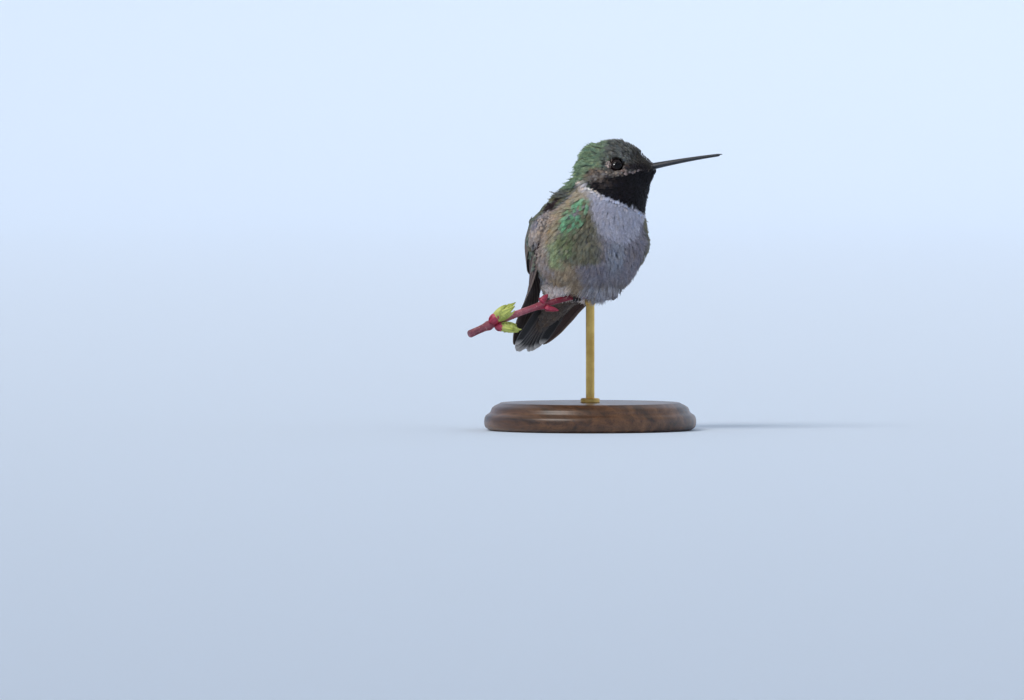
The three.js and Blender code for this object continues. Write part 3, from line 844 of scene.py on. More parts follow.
def shoulder_gloss(p: Places) -> Array:
    """Returns 1 on the slanting iridescent patch before each shoulder."""
    centre = np.interp(p.z, [49.6, 58.4], [61, 70])
    across = p.across + 4 * p.broad + 3 * p.fine
    return p.span(across, centre - 12, centre + 11, 8) * p.span(p.z + 0.6 * p.broad, 50.4, 58.6, 1.6)


def shoulder_slit_shadow(p: Places) -> Array:
    """Returns 1 where the gap between the side of the neck and the bend of the wing is painted dark, as
    painted shadow.
    """
    centre = np.interp(p.z, [55.5, 56.2, 57.3, 58.5, 59.6], [108, 109, 112, 119, 121])
    return ramp(6.5, 2.5, np.abs(p.across - centre + 2 * p.fine)) * p.span(p.z, 55.6, 59.4, 0.8)


# Later markings lie over earlier ones.
MARKINGS = (
    Marking("belly", 0xACA6AE, 0x817A83, lambda p: np.ones_like(p.z), size=0.8, streak=3.5),
    Marking("lower_belly", 0x7D777B, 0xA19A98, lambda p: ramp(39.0, 36.0, p.z), size=0.9, streak=2.5),
    Marking("belly_fringe", 0xC9C6CC, 0x8F8B91, lambda p: ramp(35.8, 34.6, p.z) * ramp(80, 60, p.across),
            size=0.7),
    Marking("lower_flank", 0xC0AC92, 0x8A7864, body_patch(50, 102, 34, 43.5, 20), size=0.8, streak=2.5),
    Marking("flank_grey", 0xBFB0A8, 0x93867F, body_patch(84, 130, 39, 51, 12), size=0.8, streak=4),
    Marking("flank_olive", 0x9A967E, 0x625E4E, body_patch(24, 70, 42, 53, 22), size=0.75, streak=2),
    Marking("flank_brown_edge", 0x86806E, 0x585248, lambda p: body_patch(36, 75, 42, 50)(p) * (p.turn > 0)),
    Marking("flank_green", 0x98A87A, 0x6A7558, lambda p: body_patch(55, 73, 43.5, 53.5, 14)(p)
            * ramp(-0.5, 0.15, p.fine), 0.3, 0.8, 2),
    Marking("flank_light_green", 0xB4C094, 0x8A966E, body_patch(69, 85, 41, 47.5, 13), 0.2, 0.7, 2),
    Marking("shoulder_tan", 0xCDBB9C, 0xA29478, body_patch(71, 88, 47.5, 56, 13), 0.0, 0.7, 2),
    Marking("shoulder_pink", 0xCDB9A8, 0xA09084, body_patch(85, 101, 43.5, 57, 13), 0.0, 0.7, 2),
    Marking("back", 0x5C766C, 0x756C57, lambda p: ramp(-6, 6, p.across + 4 * p.broad
            - np.interp(p.z, [42, 53, 58], [113, 112, 103])) * ramp(36, 42, p.z + 2 * p.broad),
            0.5, 1.1, 1.2),
    Marking("breast_side_olive", 0x9A937A, 0x666150, lambda p: body_patch(20, 60, 50, 58, 8)(p)
            * (1 - is_collar(p)), size=0.7, streak=1.6),
    Marking("upper_neck_tan", 0xCDBCA4, 0x9A8E74, lambda p: p.span(p.across, 50, 99, 8)
            * p.span(p.z + 0.6 * p.broad - 3.2 * ramp(78, 56, p.across), 54.5, 64.5, 1.5),
            size=0.7, streak=1.6),
    Marking("teal_shoulder", 0x90E0B2, 0x82AE86, lambda p: shoulder_gloss(p) * ramp(-0.3, 0.2, p.fine),
            0.35, 0.5, 1.4),
    Marking("belly_streak", 0xAEB0BA, 0x93939E, lambda p: p.span(p.turn, -17, 4, 7)
            * p.span(p.z, 39.5, 47.5, 2), size=0.6, streak=3),
    Marking("collar", 0xD3D0DA, 0xBCB9C8, is_collar, size=1.3, streak=2.0),
    Marking("neck_side", 0xF2E8E2, 0xD8CAC3, neck_side, size=0.7),
    Marking("hind_neck", 0x66735A, 0x847A60, lambda p: ramp(101, 109, p.across) * ramp(56, 59, p.z),
            0.3, 0.9, 1.3),
    # painted shadow in the gap at the bend of the wing
    Marking("wing_bend_painted_shadow", 0x3B2B2C, 0x221A1C, shoulder_slit_shadow, size=0.7),
    Marking("crown", 0x8A8B84, 0x363A37, on_head, 0.2, 0.6, 1.4),
    Marking("nape", 0xA2B690, 0x6A856D, lambda p: on_head(p) * ramp(-0.6, -5.8, p.ahead + 2.6 * p.broad
            + 1.2 * p.fine) * ramp(-5, -3, p.up), 0.3, 0.55, 1.2),
    Marking("nape_edge", 0x7C7A5C, 0x5F6350, lambda p: on_head(p) * p.span(p.ahead, -6.8, -1.8, 2)
            * ramp(1.2, -0.8, p.up) * ramp(-0.15, 0.3, p.broad), size=0.6),
    Marking("forehead", 0x635D52, 0x403D36, lambda p: on_head(p) * ramp(3.4, 6.2, p.ahead), 0.1, 0.5),
    Marking("behind_eye", 0x978471, 0x6C5B4C, lambda p: near_eye(p, -4.2, -0.6, 3.4, 2.0), size=0.6),
    Marking("cheek", 0xB5A799, 0x3A3130, is_cheek, size=0.55),
    Marking("lores", 0x191517, 0x332B29, lambda p: near_eye(p, 6.6, 1.7, 3.9, 0.95), size=0.4),
    Marking("round_eye", 0xA39488, 0x4C4340, lambda p: near_eye(p, 1.5, 2.1, 1.9, 1.75), size=0.4),
    Marking("before_eye", 0x4A3C36, 0x66544A, lambda p: near_eye(p, 3.9, 2.0, 0.7, 0.5), size=0.4),
    Marking("moustache", 0xA9958E, 0x82706A, lambda p: on_head(p) * ramp(0.42, 0.2, np.abs(
        p.up - np.interp(p.ahead, [1.8, 4.5, 9.3], [-0.4, 0.1, 0.75]))) * p.span(p.ahead, 2.0, 9.0, 1.2),
        size=0.35),
    Marking("gorget", 0x1B151B, 0x0B090D, is_gorget, 0.15, 0.6),
    Marking("gorget_corner", 0x85756A, 0x171214, lambda p: is_gorget(p) * ramp(2.0, -4.5, p.ahead + p.broad)
            * ramp(-5.5, -3.0, p.up + 0.5 * p.ahead + 2 * p.fine), 0.1, 0.6),
    Marking("behind_eye_spot", 0xE0CAC0, 0xC6B0A6, lambda p: near_eye(p, -0.4, 2.3, 1.05, 1.0), size=0.3),
    Marking("above_eye_streak", 0xC4B5A4, 0x9A8B7A, lambda p: near_eye(p, 0.9, 3.75, 1.1, 0.4), size=0.3),
    Marking("below_eye_spot", 0xB7978A, 0x8E7468, lambda p: near_eye(p, 2.9, 0.6, 0.7, 0.35), size=0.3),
    # painted shadow: the belly feathers round the legs are darkened where the body shades them
    Marking("painted_leg_shadow", 0x2C2728, 0x161314, lambda p: p.span(np.abs(p.points[:, 1]), 2.9, 5.8, 1.2)
            * ramp(40.2, 38.8, p.z + 0.4 * p.fine) * p.span(p.points[:, 0], -4.2, 1.6, 1.5), size=0.6),
    Marking("under_tail", 0x6A5E54, 0x4C423A, lambda p: ramp(-0.5, 2.0, p.along_tail)
            * ramp(0.2, -0.4, p.over_tail), size=0.9, streak=1.5),
    Marking("vent", 0xFFF2EA, 0xD6CAC4, lambda p: ramp(36.8, 35.4, p.z) * ramp(66, 78, p.across)
            * ramp(3.0, 1.0, p.along_tail), size=0.7),
)


def markings_at(points: Array) -> tuple[Array, Array]:
    """Lays all markings over each other.

    Args:
        points: Points in millimetres.

    Returns:
        The linear colour of each point, and how metallic it is from 0 to 1.
    """
    p = Places(points)
    colour = np.zeros((len(points), 3))
    gloss = np.zeros(len(points))
    for k, mark in enumerate(MARKINGS):
        weight = np.clip(mark.where(p), 0, 1)
        drawn = points / np.array([1, 1, mark.streak])
        mottle = np.clip(0.5 + 0.75 * speckle(drawn, mark.size, 7.0 * k), 0, 1)
        own = blend(tone(mark.colour), tone(mark.second), mottle)
        colour += (own - colour) * weight[:, None]
        gloss += (mark.gloss - gloss) * weight
    return colour, gloss


# ---- flesh and skin
def merged_copy(nodes: Iterable[bpy.types.Object], grow: float) -> BMesh:
    """Copies solids of the frame into one bmesh, each a little fuller, so that thin cuts close.

    Args:
        nodes: The objects of the frame.
        grow: How many millimetres each surface moves outwards.

    Returns:
        The bmesh, in metres.
    """
    parts = []
    for node in nodes:
        part = bmesh.new()
        part.from_mesh(node.data)
        bmesh.ops.remove_doubles(part, verts=part.verts, dist=1e-6)
        part.normal_update()
        for v in part.verts:
            v.co += v.normal * grow * MM
        parts.append(part)
    return join(parts)


def remeshed(bm: BMesh, voxel: float, rounds: int) -> BMesh:
    """Runs a bmesh's shells together into one even skin and smooths it.

    Args:
        bm: The bmesh in metres, which is freed.
        voxel: The size of the new faces in millimetres.
        rounds: How many times it is smoothed.

    Returns:
        The new bmesh, in millimetres.
    """
    rough = bpy.data.meshes.new("rough")
    bm.to_mesh(rough)
    bm.free()
    holder = bpy.data.objects.new("rough", rough)
    bpy.context.scene.collection.objects.link(holder)
    modifier = holder.modifiers.new("even", "REMESH")
    modifier.mode = "VOXEL"
    modifier.voxel_size = voxel * MM
    even = bpy.data.meshes.new_from_object(holder.evaluated_get(bpy.context.evaluated_depsgraph_get()))
    bpy.data.objects.remove(holder)
    bpy.data.meshes.remove(rough)
    made = bmesh.new()
    made.from_mesh(even)
    bpy.data.meshes.remove(even)
    for _ in range(rounds):
        bmesh.ops.smooth_vert(made, verts=made.verts, factor=0.5, use_axis_x=True, use_axis_y=True,
                              use_axis_z=True)
    bmesh.ops.scale(made, vec=(1 / MM,) * 3, verts=made.verts)
    return made


@dataclass
class Flesh:
    """The plumage's outer form, read from the solids, and the skin that lies a coat's depth inside it."""

    nodes: dict[str, bpy.types.Object]
    covered: tuple[str, ...] = ("trunk", "neck", "head", "wing_left_coverts", "wing_right_coverts",
                                "tail_coverts_upper", "tail_coverts_under")
    hard: tuple[str, ...] = ("bill_upper", "bill_lower", "eye_left", "eye_right", "tail", "perch_twig",
                             "wing_left_primaries", "wing_right_primaries", "wing_left_secondaries",
                             "wing_right_secondaries")
    over: tuple[str, ...] = ("wing_left_primaries", "wing_right_primaries", "wing_left_secondaries",
                             "wing_right_secondaries", "tail")
    body_depth: float = 1.35
    head_depth: float = 0.6
    wing_depth: float = 0.4
    # lower and upper edge and how soft, the middle and half width in degrees, millimetres inwards
    trims: tuple = ((33.0, 42.0, 3.0, 55, 45, 0.75), (45.0, 49.0, 2.0, 45, 35, -0.55),
                    (61.8, 65.6, 1.5, 48, 40, 0.5), (68.2, 71.0, 1.2, 48, 40, 0.45),
                    (63.5, 66.8, 2.0, -128, 35, 0.6), (69.8, 72.5, 1.2, -130, 50, -0.5),
                    (33.6, 37.2, 1.4, -122, 25, -0.8))

    def __post_init__(self) -> None:
        """Reads the form and gets it ready for finding places on it."""
        form = remeshed(merged_copy([self.nodes[n] for n in self.covered], 0.1), 0.42, 3)
        form.normal_update()
        self.trim(form)
        form.normal_update()
        self.points = corners(form)
        self.normals = np.array([v.normal for v in form.verts])
        bmesh.ops.triangulate(form, faces=form.faces)
        self.triangles = np.array([[v.index for v in f.verts] for f in form.faces])
        self.form = form
        self.tree = self.tree_of([self.nodes[n] for n in self.over], form)
        self.blockers = self.tree_of([self.nodes[n] for n in self.hard])
        self.near = {n: self.tree_of([self.nodes[n]]) for n in self.covered}
        self.feet = self.tree_of([self.nodes["foot_left"], self.nodes["foot_right"]])

    def trim(self, form: BMesh) -> None:
        """Draws the form in where feathers lie tight, and out where they are fluffed."""
        p = Places(corners(form))
        deep = 0.9 * p.span(p.z, 55.0, 63.0, 3.0) * ramp(80, 105, p.across)
        for low, high, soft, turn, half, depth in self.trims:
            off = np.abs((p.turn - turn + 180) % 360 - 180)
            deep = deep + depth * p.span(p.z, low, high, soft) * ramp(half * 1.4, half * 0.6, off)
        for v, d in zip(form.verts, deep):
            v.co -= v.normal * d

    def tree_of(self, objects: list[bpy.types.Object], extra: BMesh | None = None) -> BVHTree:
        """Returns a search tree, in millimetres, over solids of the frame and one more bmesh."""
        points, faces = [], []
        for o in objects:
            start = len(points)
            points += [v.co / MM for v in o.data.vertices]
            faces += [[start + k for k in f.vertices] for f in o.data.polygons]
        if extra is not None:
            start = len(points)
            points += [v.co.copy() for v in extra.verts]
            faces += [[start + v.index for v in f.verts] for f in extra.faces]
        return BVHTree.FromPolygons(points, faces)

    def depth_at(self, points: Array) -> Array:
        """Returns how deep the coat is at points on the form, in millimetres."""
        depth = self.head_depth + (self.body_depth - self.head_depth) * ramp(8.6, 12.5, from_head(points))
        bill = np.linalg.norm(points - HEAD.out([8.6, 0, 1.4]), axis=1)
        depth = depth * (0.35 + 0.65 * ramp(0.5, 4.0, bill))
        for name in self.covered[3:]:
            depth = self.wing_depth + (depth - self.wing_depth) * ramp(0.3, 1.5, self.away(name, points))
        return depth

    def away(self, name: str, points: Array) -> Array:
        """Returns how far points are from one of the covered solids, in millimetres."""
        return np.array([self.near[name].find_nearest(Vector(p))[3] for p in points])

    def settle(self, points: Array, normals: Array, reach: float = 2.6
               ) -> tuple[Array, Array]:
        """Drops points onto the outermost surface below them.

        Args:
            points: Points near the surface.
            normals: Roughly the outward direction at each.
            reach: How far above a point the surface may be.

        Returns:
            The points on the surface, and its outward directions there.
        """
        found, facing = np.empty_like(points), np.empty_like(points)
        for k, (p, n) in enumerate(zip(points, normals)):
            place, normal, _, _ = self.tree.ray_cast(Vector(p + n * reach), Vector(-n), reach * 2.2)
            if place is None or normal.dot(Vector(n)) < 0.15:
                place, normal, _, _ = self.tree.find_nearest(Vector(p))
            found[k], facing[k] = place, normal if normal.dot(Vector(n)) > 0 else -normal
        return found, facing

    def make_skin(self) -> None:
        """Makes the one skin that stands for all the flesh."""
        skin = self.form.copy()
        depth = self.depth_at(self.points)
        for v, n, d in zip(skin.verts, self.normals, depth):
            v.co = (v.co - Vector(n) * d) * MM
        skin = remeshed(skin, 0.5, 4)
        colour, _ = markings_at(corners(skin))
        note(skin, "Tint", colour * 0.45 + tone(0x2B2628) * 0.25)
        add_piece("skin", mesh_from("skin", skin, 180), Finish.SKIN, "plumage_grey", *self.covered)


# ---- small feathers
@dataclass(frozen=True)
class VaneShape:
    """The closed blade that all feathers of one sort are copied from, flat and of unit size.

    Its x is across in half widths, its y along from root to tip, and its z is 0 above and -1 below.
    """

    columns: int
    rows: int
    splits: int = 0  # how many rows of the tip are split between the columns
    tuft: float = 1.0  # how wide each split lock stays at its tip
    rounded: float = 0.3  # how much shorter the sides are than the middle

    def make(self) -> tuple[Array, Array]:
        """Makes the blade.

        Returns:
            Its vertices, and the four corners of each face.
        """
        bm = bmesh.new()
        bmesh.ops.create_grid(bm, x_segments=self.columns, y_segments=self.rows, size=0.5)
        bmesh.ops.transform(bm, matrix=Matrix.Diagonal((2, 1, 1, 1)), verts=bm.verts)
        bmesh.ops.translate(bm, vec=(0, 0.5, 0), verts=bm.verts)
        free = 1 - self.splits / self.rows
        if self.splits:
            ridge = [e for e in bm.edges if len(e.link_faces) == 2
                     and abs(e.verts[0].co.x - e.verts[1].co.x) < 1e-4
                     and min(v.co.y for v in e.verts) > free - 0.01]
            bmesh.ops.split_edges(bm, edges=ridge)
        middle = {v.index: sum(f.calc_center_median().x for f in v.link_faces) / len(v.link_faces)
                  for v in bm.verts}
        for v in bm.verts:
            x, y = v.co.x, v.co.y
            centre = middle[v.index]
            late = max(0.0, (y - free) / (1 - free)) if self.splits else 0.0
            narrow = 1 - (1 - self.tuft) * late ** 1.3
            lock = centre + (x - centre) * narrow if self.splits and late > 0 else x
            outline = min(1.0, 0.22 + 1.5 * y) * (1 - 0.22 * max(0.0, y - 0.62) / 0.38)
            jag = 0.1 * math.sin(9.7 * centre + 2.3) if self.splits else 0.03 * math.cos(6 * math.pi * x)
            end = 1 - self.rounded * abs(lock) ** 2.4 + jag * y
            v.co.x, v.co.y = lock * outline * (1 + 0.12 * late), y * end
        thicken(bm)
        bmesh.ops.recalc_face_normals(bm, faces=bm.faces)
        bm.verts.index_update()
        points = corners(bm)
        faces = np.array([[v.index for v in f.verts] for f in bm.faces])
        bm.free()
        return points, faces


class Sort(Enum):
    """The sorts of small feather."""

    SCALE = VaneShape(4, 4, 0, 1.0, 0.34)
    BROAD = VaneShape(6, 5, 1, 0.5, 0.3)
    LOOSE = VaneShape(4, 5, 3, 0.25, 0.3)
    DOWN = VaneShape(4, 5, 4, 0.18, 0.12)


@dataclass(frozen=True)
class Tract:
    """A stretch of plumage whose feathers are of one kind. Sizes are millimetres."""

    name: str
    sort: Sort
    length: float
    width: float
    where: Callable[[Places], Array]
    lift: float = 0.1  # how far the tip stands off the form
    ruffle: float = 0.12  # how much lift and direction vary
    thick: float = 0.05
    fringe: float = 0.12  # how much paler the rim is
    base: int = 0x4A444C  # the downy base
    vary: float = 0.15  # how much one feather's tone differs from the next one's
    slot: str = "plumage_grey"


def head_side(p: Places) -> Array:
    """Tells which points belong to the head's own plumage."""
    return on_head(p) > 0.5


TRACTS = (
    Tract("coat_face", Sort.SCALE, 1.0, 0.62, lambda p: head_side(p) & (p.ahead > 3.4) & (
        is_gorget(p) < 0.5), 0.02, 0.08, 0.03, slot="plumage_green"),
    Tract("coat_eye_ring", Sort.SCALE, 0.75, 0.5, lambda p: head_side(p) & (p.beside > 3) & (np.hypot(
        p.ahead - Eye.forward, p.up - Eye.up) < 3.1), 0.02, 0.06, 0.03, base=0x6B615C, slot="plumage_green"),
    Tract("coat_cheek", Sort.LOOSE, 1.3, 0.7, lambda p: head_side(p) & (p.up < 2.2) & (
        p.ahead > -5.2) & (is_gorget(p) < 0.5), 0.04, 0.1, 0.035, slot="plumage_green"),
    Tract("coat_gorget", Sort.SCALE, 1.45, 1.0, lambda p: is_gorget(p) > 0.5, 0.05, 0.08, 0.045, 0.05,
          0x100E12, slot="plumage_green"),
    Tract("coat_nape", Sort.LOOSE, 2.2, 0.85, lambda p: head_side(p) & (p.ahead < -3.2), 0.32, 0.42,
          0.05, slot="plumage_green"),
    Tract("coat_crown", Sort.LOOSE, 1.6, 0.85, head_side, 0.12, 0.2, 0.045, slot="plumage_green"),
    Tract("coat_collar", Sort.LOOSE, 2.1, 0.95, lambda p: (p.z > 45) & (
        np.maximum(is_collar(p), neck_side(p)) > 0.5), 0.03, 0.07, 0.035, 0.03, 0xBDBAC6, 0.05,
          slot="plumage_white"),
    Tract("coat_vent", Sort.DOWN, 2.6, 1.5, lambda p: (p.z < 36.6) & (p.across > 70)
          & (p.along_tail < 3), 0.3, 0.35, 0.05, 0.1, 0xC9C5CB, 0.08, slot="plumage_white"),
    Tract("coat_back", Sort.BROAD, 2.6, 1.35, lambda p: p.across > 108, 0.03, 0.1, 0.06,
          slot="plumage_green"),
    Tract("coat_fringe", Sort.DOWN, 3.4, 1.1, lambda p: (p.z < 37.5) & (p.across < 70), 0.5, 0.5, 0.04,
          base=0x8A858C),
    Tract("coat_belly", Sort.DOWN, 2.5, 0.95, lambda p: (p.z < 43) & (p.across < 62), 0.14, 0.22, 0.045,
          base=0x8A848B, vary=0.1),
    Tract("coat_breast", Sort.LOOSE, 2.3, 0.9, lambda p: p.across < 42, 0.1, 0.18, 0.045, base=0x7A757B,
          vary=0.12),
    Tract("coat_flank", Sort.LOOSE, 2.4, 0.95, lambda p: np.ones(len(p.z), bool), 0.12, 0.2, 0.05,
          base=0x635C52),
)
WING_TRACT = Tract("wing", Sort.BROAD, 2.3, 1.5, lambda p: p.z > 0, 0.05, 0.06, 0.06, 0.22, 0x2C2624,
                   slot="plumage_green")
RUMP_TRACT = Tract("upper_tail", Sort.BROAD, 3.3, 2.0, lambda p: p.z > 0, 0.08, 0.1, 0.06, 0.2,
                   slot="plumage_green")
VENT_TRACT = Tract("under_tail", Sort.BROAD, 3.4, 2.0, lambda p: p.z > 0, 0.08, 0.12, 0.06, 0.6, 0x4A4648)


@dataclass
class Coat:
    """Lays every tract of small feathers over the form."""

    flesh: Flesh
    rng: np.random.Generator = field(default_factory=lambda: np.random.default_rng(SEED))

    def spread(self, spacing: Callable[[Array], Array], share: float) -> Array:
        """Scatters feather roots evenly over the form, thicker where the spacing is small.

        Args:
            spacing: Gives the spacing wanted at points of the form, in millimetres.
            share: How many candidates are thrown for each one that should stay.

        Returns:
            Rows of the roots' places and outward directions, six numbers each.
        """
        flesh = self.flesh
        tri = flesh.points[flesh.triangles]
        area = np.linalg.norm(np.cross(tri[:, 1] - tri[:, 0], tri[:, 2] - tri[:, 0]), axis=1) / 2
        wanted = area / spacing(tri.mean(1)) ** 2
        count = int(wanted.sum() * share)
        chosen = self.rng.choice(len(tri), count, p=wanted / wanted.sum())
        a, b = self.rng.random((2, count))
        flip = a + b > 1
        a, b = np.where(flip, 1 - a, a)[:, None], np.where(flip, 1 - b, b)[:, None]
        mix = [1 - a - b, a, b]
        points = sum(m * tri[chosen, k] for k, m in enumerate(mix))
        normals = unit(sum(m * flesh.normals[flesh.triangles[chosen, k]] for k, m in enumerate(mix)))
        gap = spacing(points)
        tree = KDTree(count)
        for k, p in enumerate(points):
            tree.insert(p, k)
        tree.balance()
        alive = np.ones(count, bool)
        for k in range(count):
            if alive[k]:
                for _, other, _ in tree.find_range(points[k], gap[k]):
                    alive[other] = other == k
        return np.hstack([points, normals])[alive]

    def open_to_air(self, roots: Array) -> Array:
        """Tells which roots have no eye, bill, wing, tail or twig right over them."""
        points, normals = roots[:, :3], roots[:, 3:]
        free = np.ones(len(roots), bool)
        for k, (p, n) in enumerate(zip(points, normals)):
            hit = self.flesh.blockers.ray_cast(Vector(p + n * 0.02), Vector(n), 3.5)
            free[k] = hit[0] is None
        ahead, left, up = HEAD.into(points).T
        eye = np.hypot(ahead - Eye.forward, up - Eye.up) < Eye.bare
        free &= ~(eye & (np.abs(left) > 3.5))
        for k in np.flatnonzero(points[:, 2] < 41):
            free[k] &= self.flesh.feet.find_nearest(Vector(points[k]))[3] > 2.1
        return free

    def flow(self, points: Array, normals: Array, kind: str) -> Array:
        """Returns the way feathers point at places on the form.

        Args:
            points: The places.
            normals: The form's outward directions there.
            kind: "body", "wing_left", "wing_right" or "tail".

        Returns:
            Unit vectors along the surface.
        """
        if kind == "tail":
            return flatten(np.broadcast_to(TAIL.ahead(), points.shape), normals)
        body = flatten(unit(np.array([-12.0, 0.0, 31.0]) - points), normals)
        if kind.startswith("wing"):
            near = WINGS[kind].nearest(points)
            return flatten(blend(WINGS[kind].ahead(near), body, ramp(8.0, 2.0, near)), normals)
        head = flatten(unit(points - HEAD.out([8.5, 0, 1.0])), normals)
        return flatten(blend(head, body, ramp(8.3, 12.0, from_head(points))), normals)

    def lay(self, tract: Tract, roots: Array, kind: str, name: str, size: Array | float) -> None:
        """Makes one coat piece: a blade for every root, bent to follow the form.

        Args:
            tract: What its feathers are like.
            roots: The roots' places and outward directions.
            kind: Which way they point, as for flow.
            name: The piece's name.
            size: A scale for each feather, or one for all, before chance makes them differ.
        """
        rng, flesh = self.rng, self.flesh
        count = len(roots)
        start, up = roots[:, :3], roots[:, 3:]
        size = size * rng.normal(1, 0.08, count).clip(0.8, 1.25)
        length, half = tract.length * size, tract.width * size / 2
        way = self.flow(start, up, kind)
        side = np.cross(way, up)
        way = flatten(way + side * rng.normal(0, tract.ruffle * 0.9, count)[:, None], up)
        middle, up_middle = flesh.settle(start + way * length[:, None] * 0.5, up)
        on = flatten(self.flow(middle, up_middle, kind) * 0.7 + flatten(way, up_middle) * 0.6, up_middle)
        end, up_end = flesh.settle(middle + on * length[:, None] * 0.5, up_middle)
        low = np.flatnonzero(start[:, 2] < 42)
        near = {k: min(flesh.feet.find_nearest(Vector(q))[3] for q in (middle[k], end[k])) for k in low}
        keep = np.array([near.get(k, 9.0) > 2.7 for k in range(count)])
        steps = np.maximum(np.linalg.norm(middle - start, axis=1), np.linalg.norm(end - middle, axis=1))
        keep &= steps < length * 0.5 + 0.55  # a longer step has jumped onto a wing
        start, up, size, length, half, middle, up_middle, end, up_end = (
            kept[keep] for kept in (start, up, size, length, half, middle, up_middle, end, up_end))
        count = int(keep.sum())
        deep = flesh.depth_at(start)
        lift = tract.lift * size + np.abs(rng.normal(0, tract.ruffle, count)) * size
        root = start - up * (deep * 0.85)[:, None]
        middle = middle - up_middle * (deep * 0.28 - 0.1 * lift)[:, None]
        end = end + up_end * (lift - 0.12)[:, None]
        control = 2 * middle - (root + end) / 2
        shape, faces = tract.sort.value.make()
        x, t, z = shape.T
        a, b, c = (corner[:, None, :] for corner in (root, control, end))
        s = t[None, :, None]
        line = a * (1 - s) ** 2 + b * 2 * s * (1 - s) + c * s ** 2
        ahead = unit((b - a) * (1 - s) + (c - b) * s)
        above = flatten(up[:, None] * (1 - s) + up_end[:, None] * s, ahead)
        beside = np.cross(ahead, above)
        wide = half[:, None] * x[None, :]
        cup = 0.22 * half[:, None] * x[None, :] ** 2
        lock = np.sin(7.3 * x[None, :] + rng.random(count)[:, None] * 6.3) * ramp(0.5, 1, t)[None, :]
        curl = lock * (tract.ruffle * 0.45) * half[:, None]
        height = z[None, :] * tract.thick * (1.15 - t[None, :] * 0.75) - cup + curl
        points = line + beside * wide[..., None] + above * height[..., None]
        colour, gloss = markings_at(middle * 0.3 + end * 0.7)
        tint, shine = self.tint(tract, colour, gloss, x, t, count)
        measure = np.stack([wide, length[:, None] * t[None, :],
                            np.broadcast_to(rng.random(count)[:, None], wide.shape)], -1)
        mesh = self.mesh(name, points, faces)
        self.paint(mesh, tint, shine, measure)
        self.unwrap(mesh, start, shape, faces)
        add_piece(name, mesh, Finish.PLUME, tract.slot)
        log.info("%s: %d feathers, %d triangles", name, count, count * len(faces) * 2)

    def tint(self, tract: Tract, colour: Array, gloss: Array, x: Array, t: Array,
             count: int) -> tuple[Array, Array]:
        """Colours each feather from its downy base to its paler rim.

        Args:
            tract: The tract.
            colour: Each feather's colour.
            gloss: How metallic each feather is.
            x: The blade's vertices, across.
            t: The same, along.
            count: How many feathers there are.

        Returns:
            A colour and a gloss for each vertex of each feather.
        """
        rng = self.rng
        own = colour * rng.normal(1, tract.vary, count).clip(0.65, 1.45)[:, None]
        warm = rng.normal(0, tract.vary * 0.4, count)[:, None] * np.array([1.0, 0.2, -0.8])
        own = np.clip(own * (1 + warm), 0, 1)[:, None, :]
        grown = ramp(0.22, 0.62, t)[None, :]
        rim = (ramp(0.84, 1.0, t) * 0.7 + ramp(0.7, 1.0, np.abs(x)) * 0.3)[None, :, None]
        tint = blend(tone(tract.base) * 0.65 + own * 0.3, own, grown)
        pale = np.clip(tint * 1.6 + 0.02, 0, 1)
        tint = tint + (pale - tint) * rim * tract.fringe * 2
        shine = gloss[:, None] * ramp(0.4, 0.7, t)[None, :] * (1 - 0.5 * rim[..., 0])
        return tint, shine * rng.uniform(0.7, 1.0, count)[:, None]

    def mesh(self, name: str, points: Array, faces: Array) -> bpy.types.Mesh:
        """Joins copies of one blade into a mesh.

        Args:
            name: The mesh's name.
            points: For each feather, its vertices in millimetres.
            faces: The corners of the blade's faces.

        Returns:
            The mesh, in metres.
        """
        count, each = points.shape[:2]
        corner = (faces[None] + np.arange(count)[:, None, None] * each).reshape(-1)
        mesh = bpy.data.meshes.new(name)
        mesh.vertices.add(count * each)
        mesh.vertices.foreach_set("co", (points * MM).astype(np.float32).reshape(-1))
        mesh.loops.add(len(corner))
        mesh.loops.foreach_set("vertex_index", corner.astype(np.int32))
        mesh.polygons.add(count * len(faces))
        mesh.polygons.foreach_set("loop_start", np.arange(0, len(corner), 4, dtype=np.int32))
        mesh.update(calc_edges=True)
        mesh.validate()
        mesh.set_sharp_from_angle(angle=math.radians(60))
        return mesh

    def paint(self, mesh: bpy.types.Mesh, tint: Array, shine: Array, measure: Array) -> None:
        """Writes the attributes that the feather finish reads."""
        full = np.concatenate([tint, np.ones((*tint.shape[:2], 1))], -1)
        for name, kind, key, values in (("Tint", "FLOAT_COLOR", "color", full),
                                        ("Gloss", "FLOAT", "value", shine),
                                        ("Vane", "FLOAT_VECTOR", "vector", measure)):
            data = mesh.attributes.new(name, kind, "POINT").data
            data.foreach_set(key, values.astype(np.float32).reshape(-1))

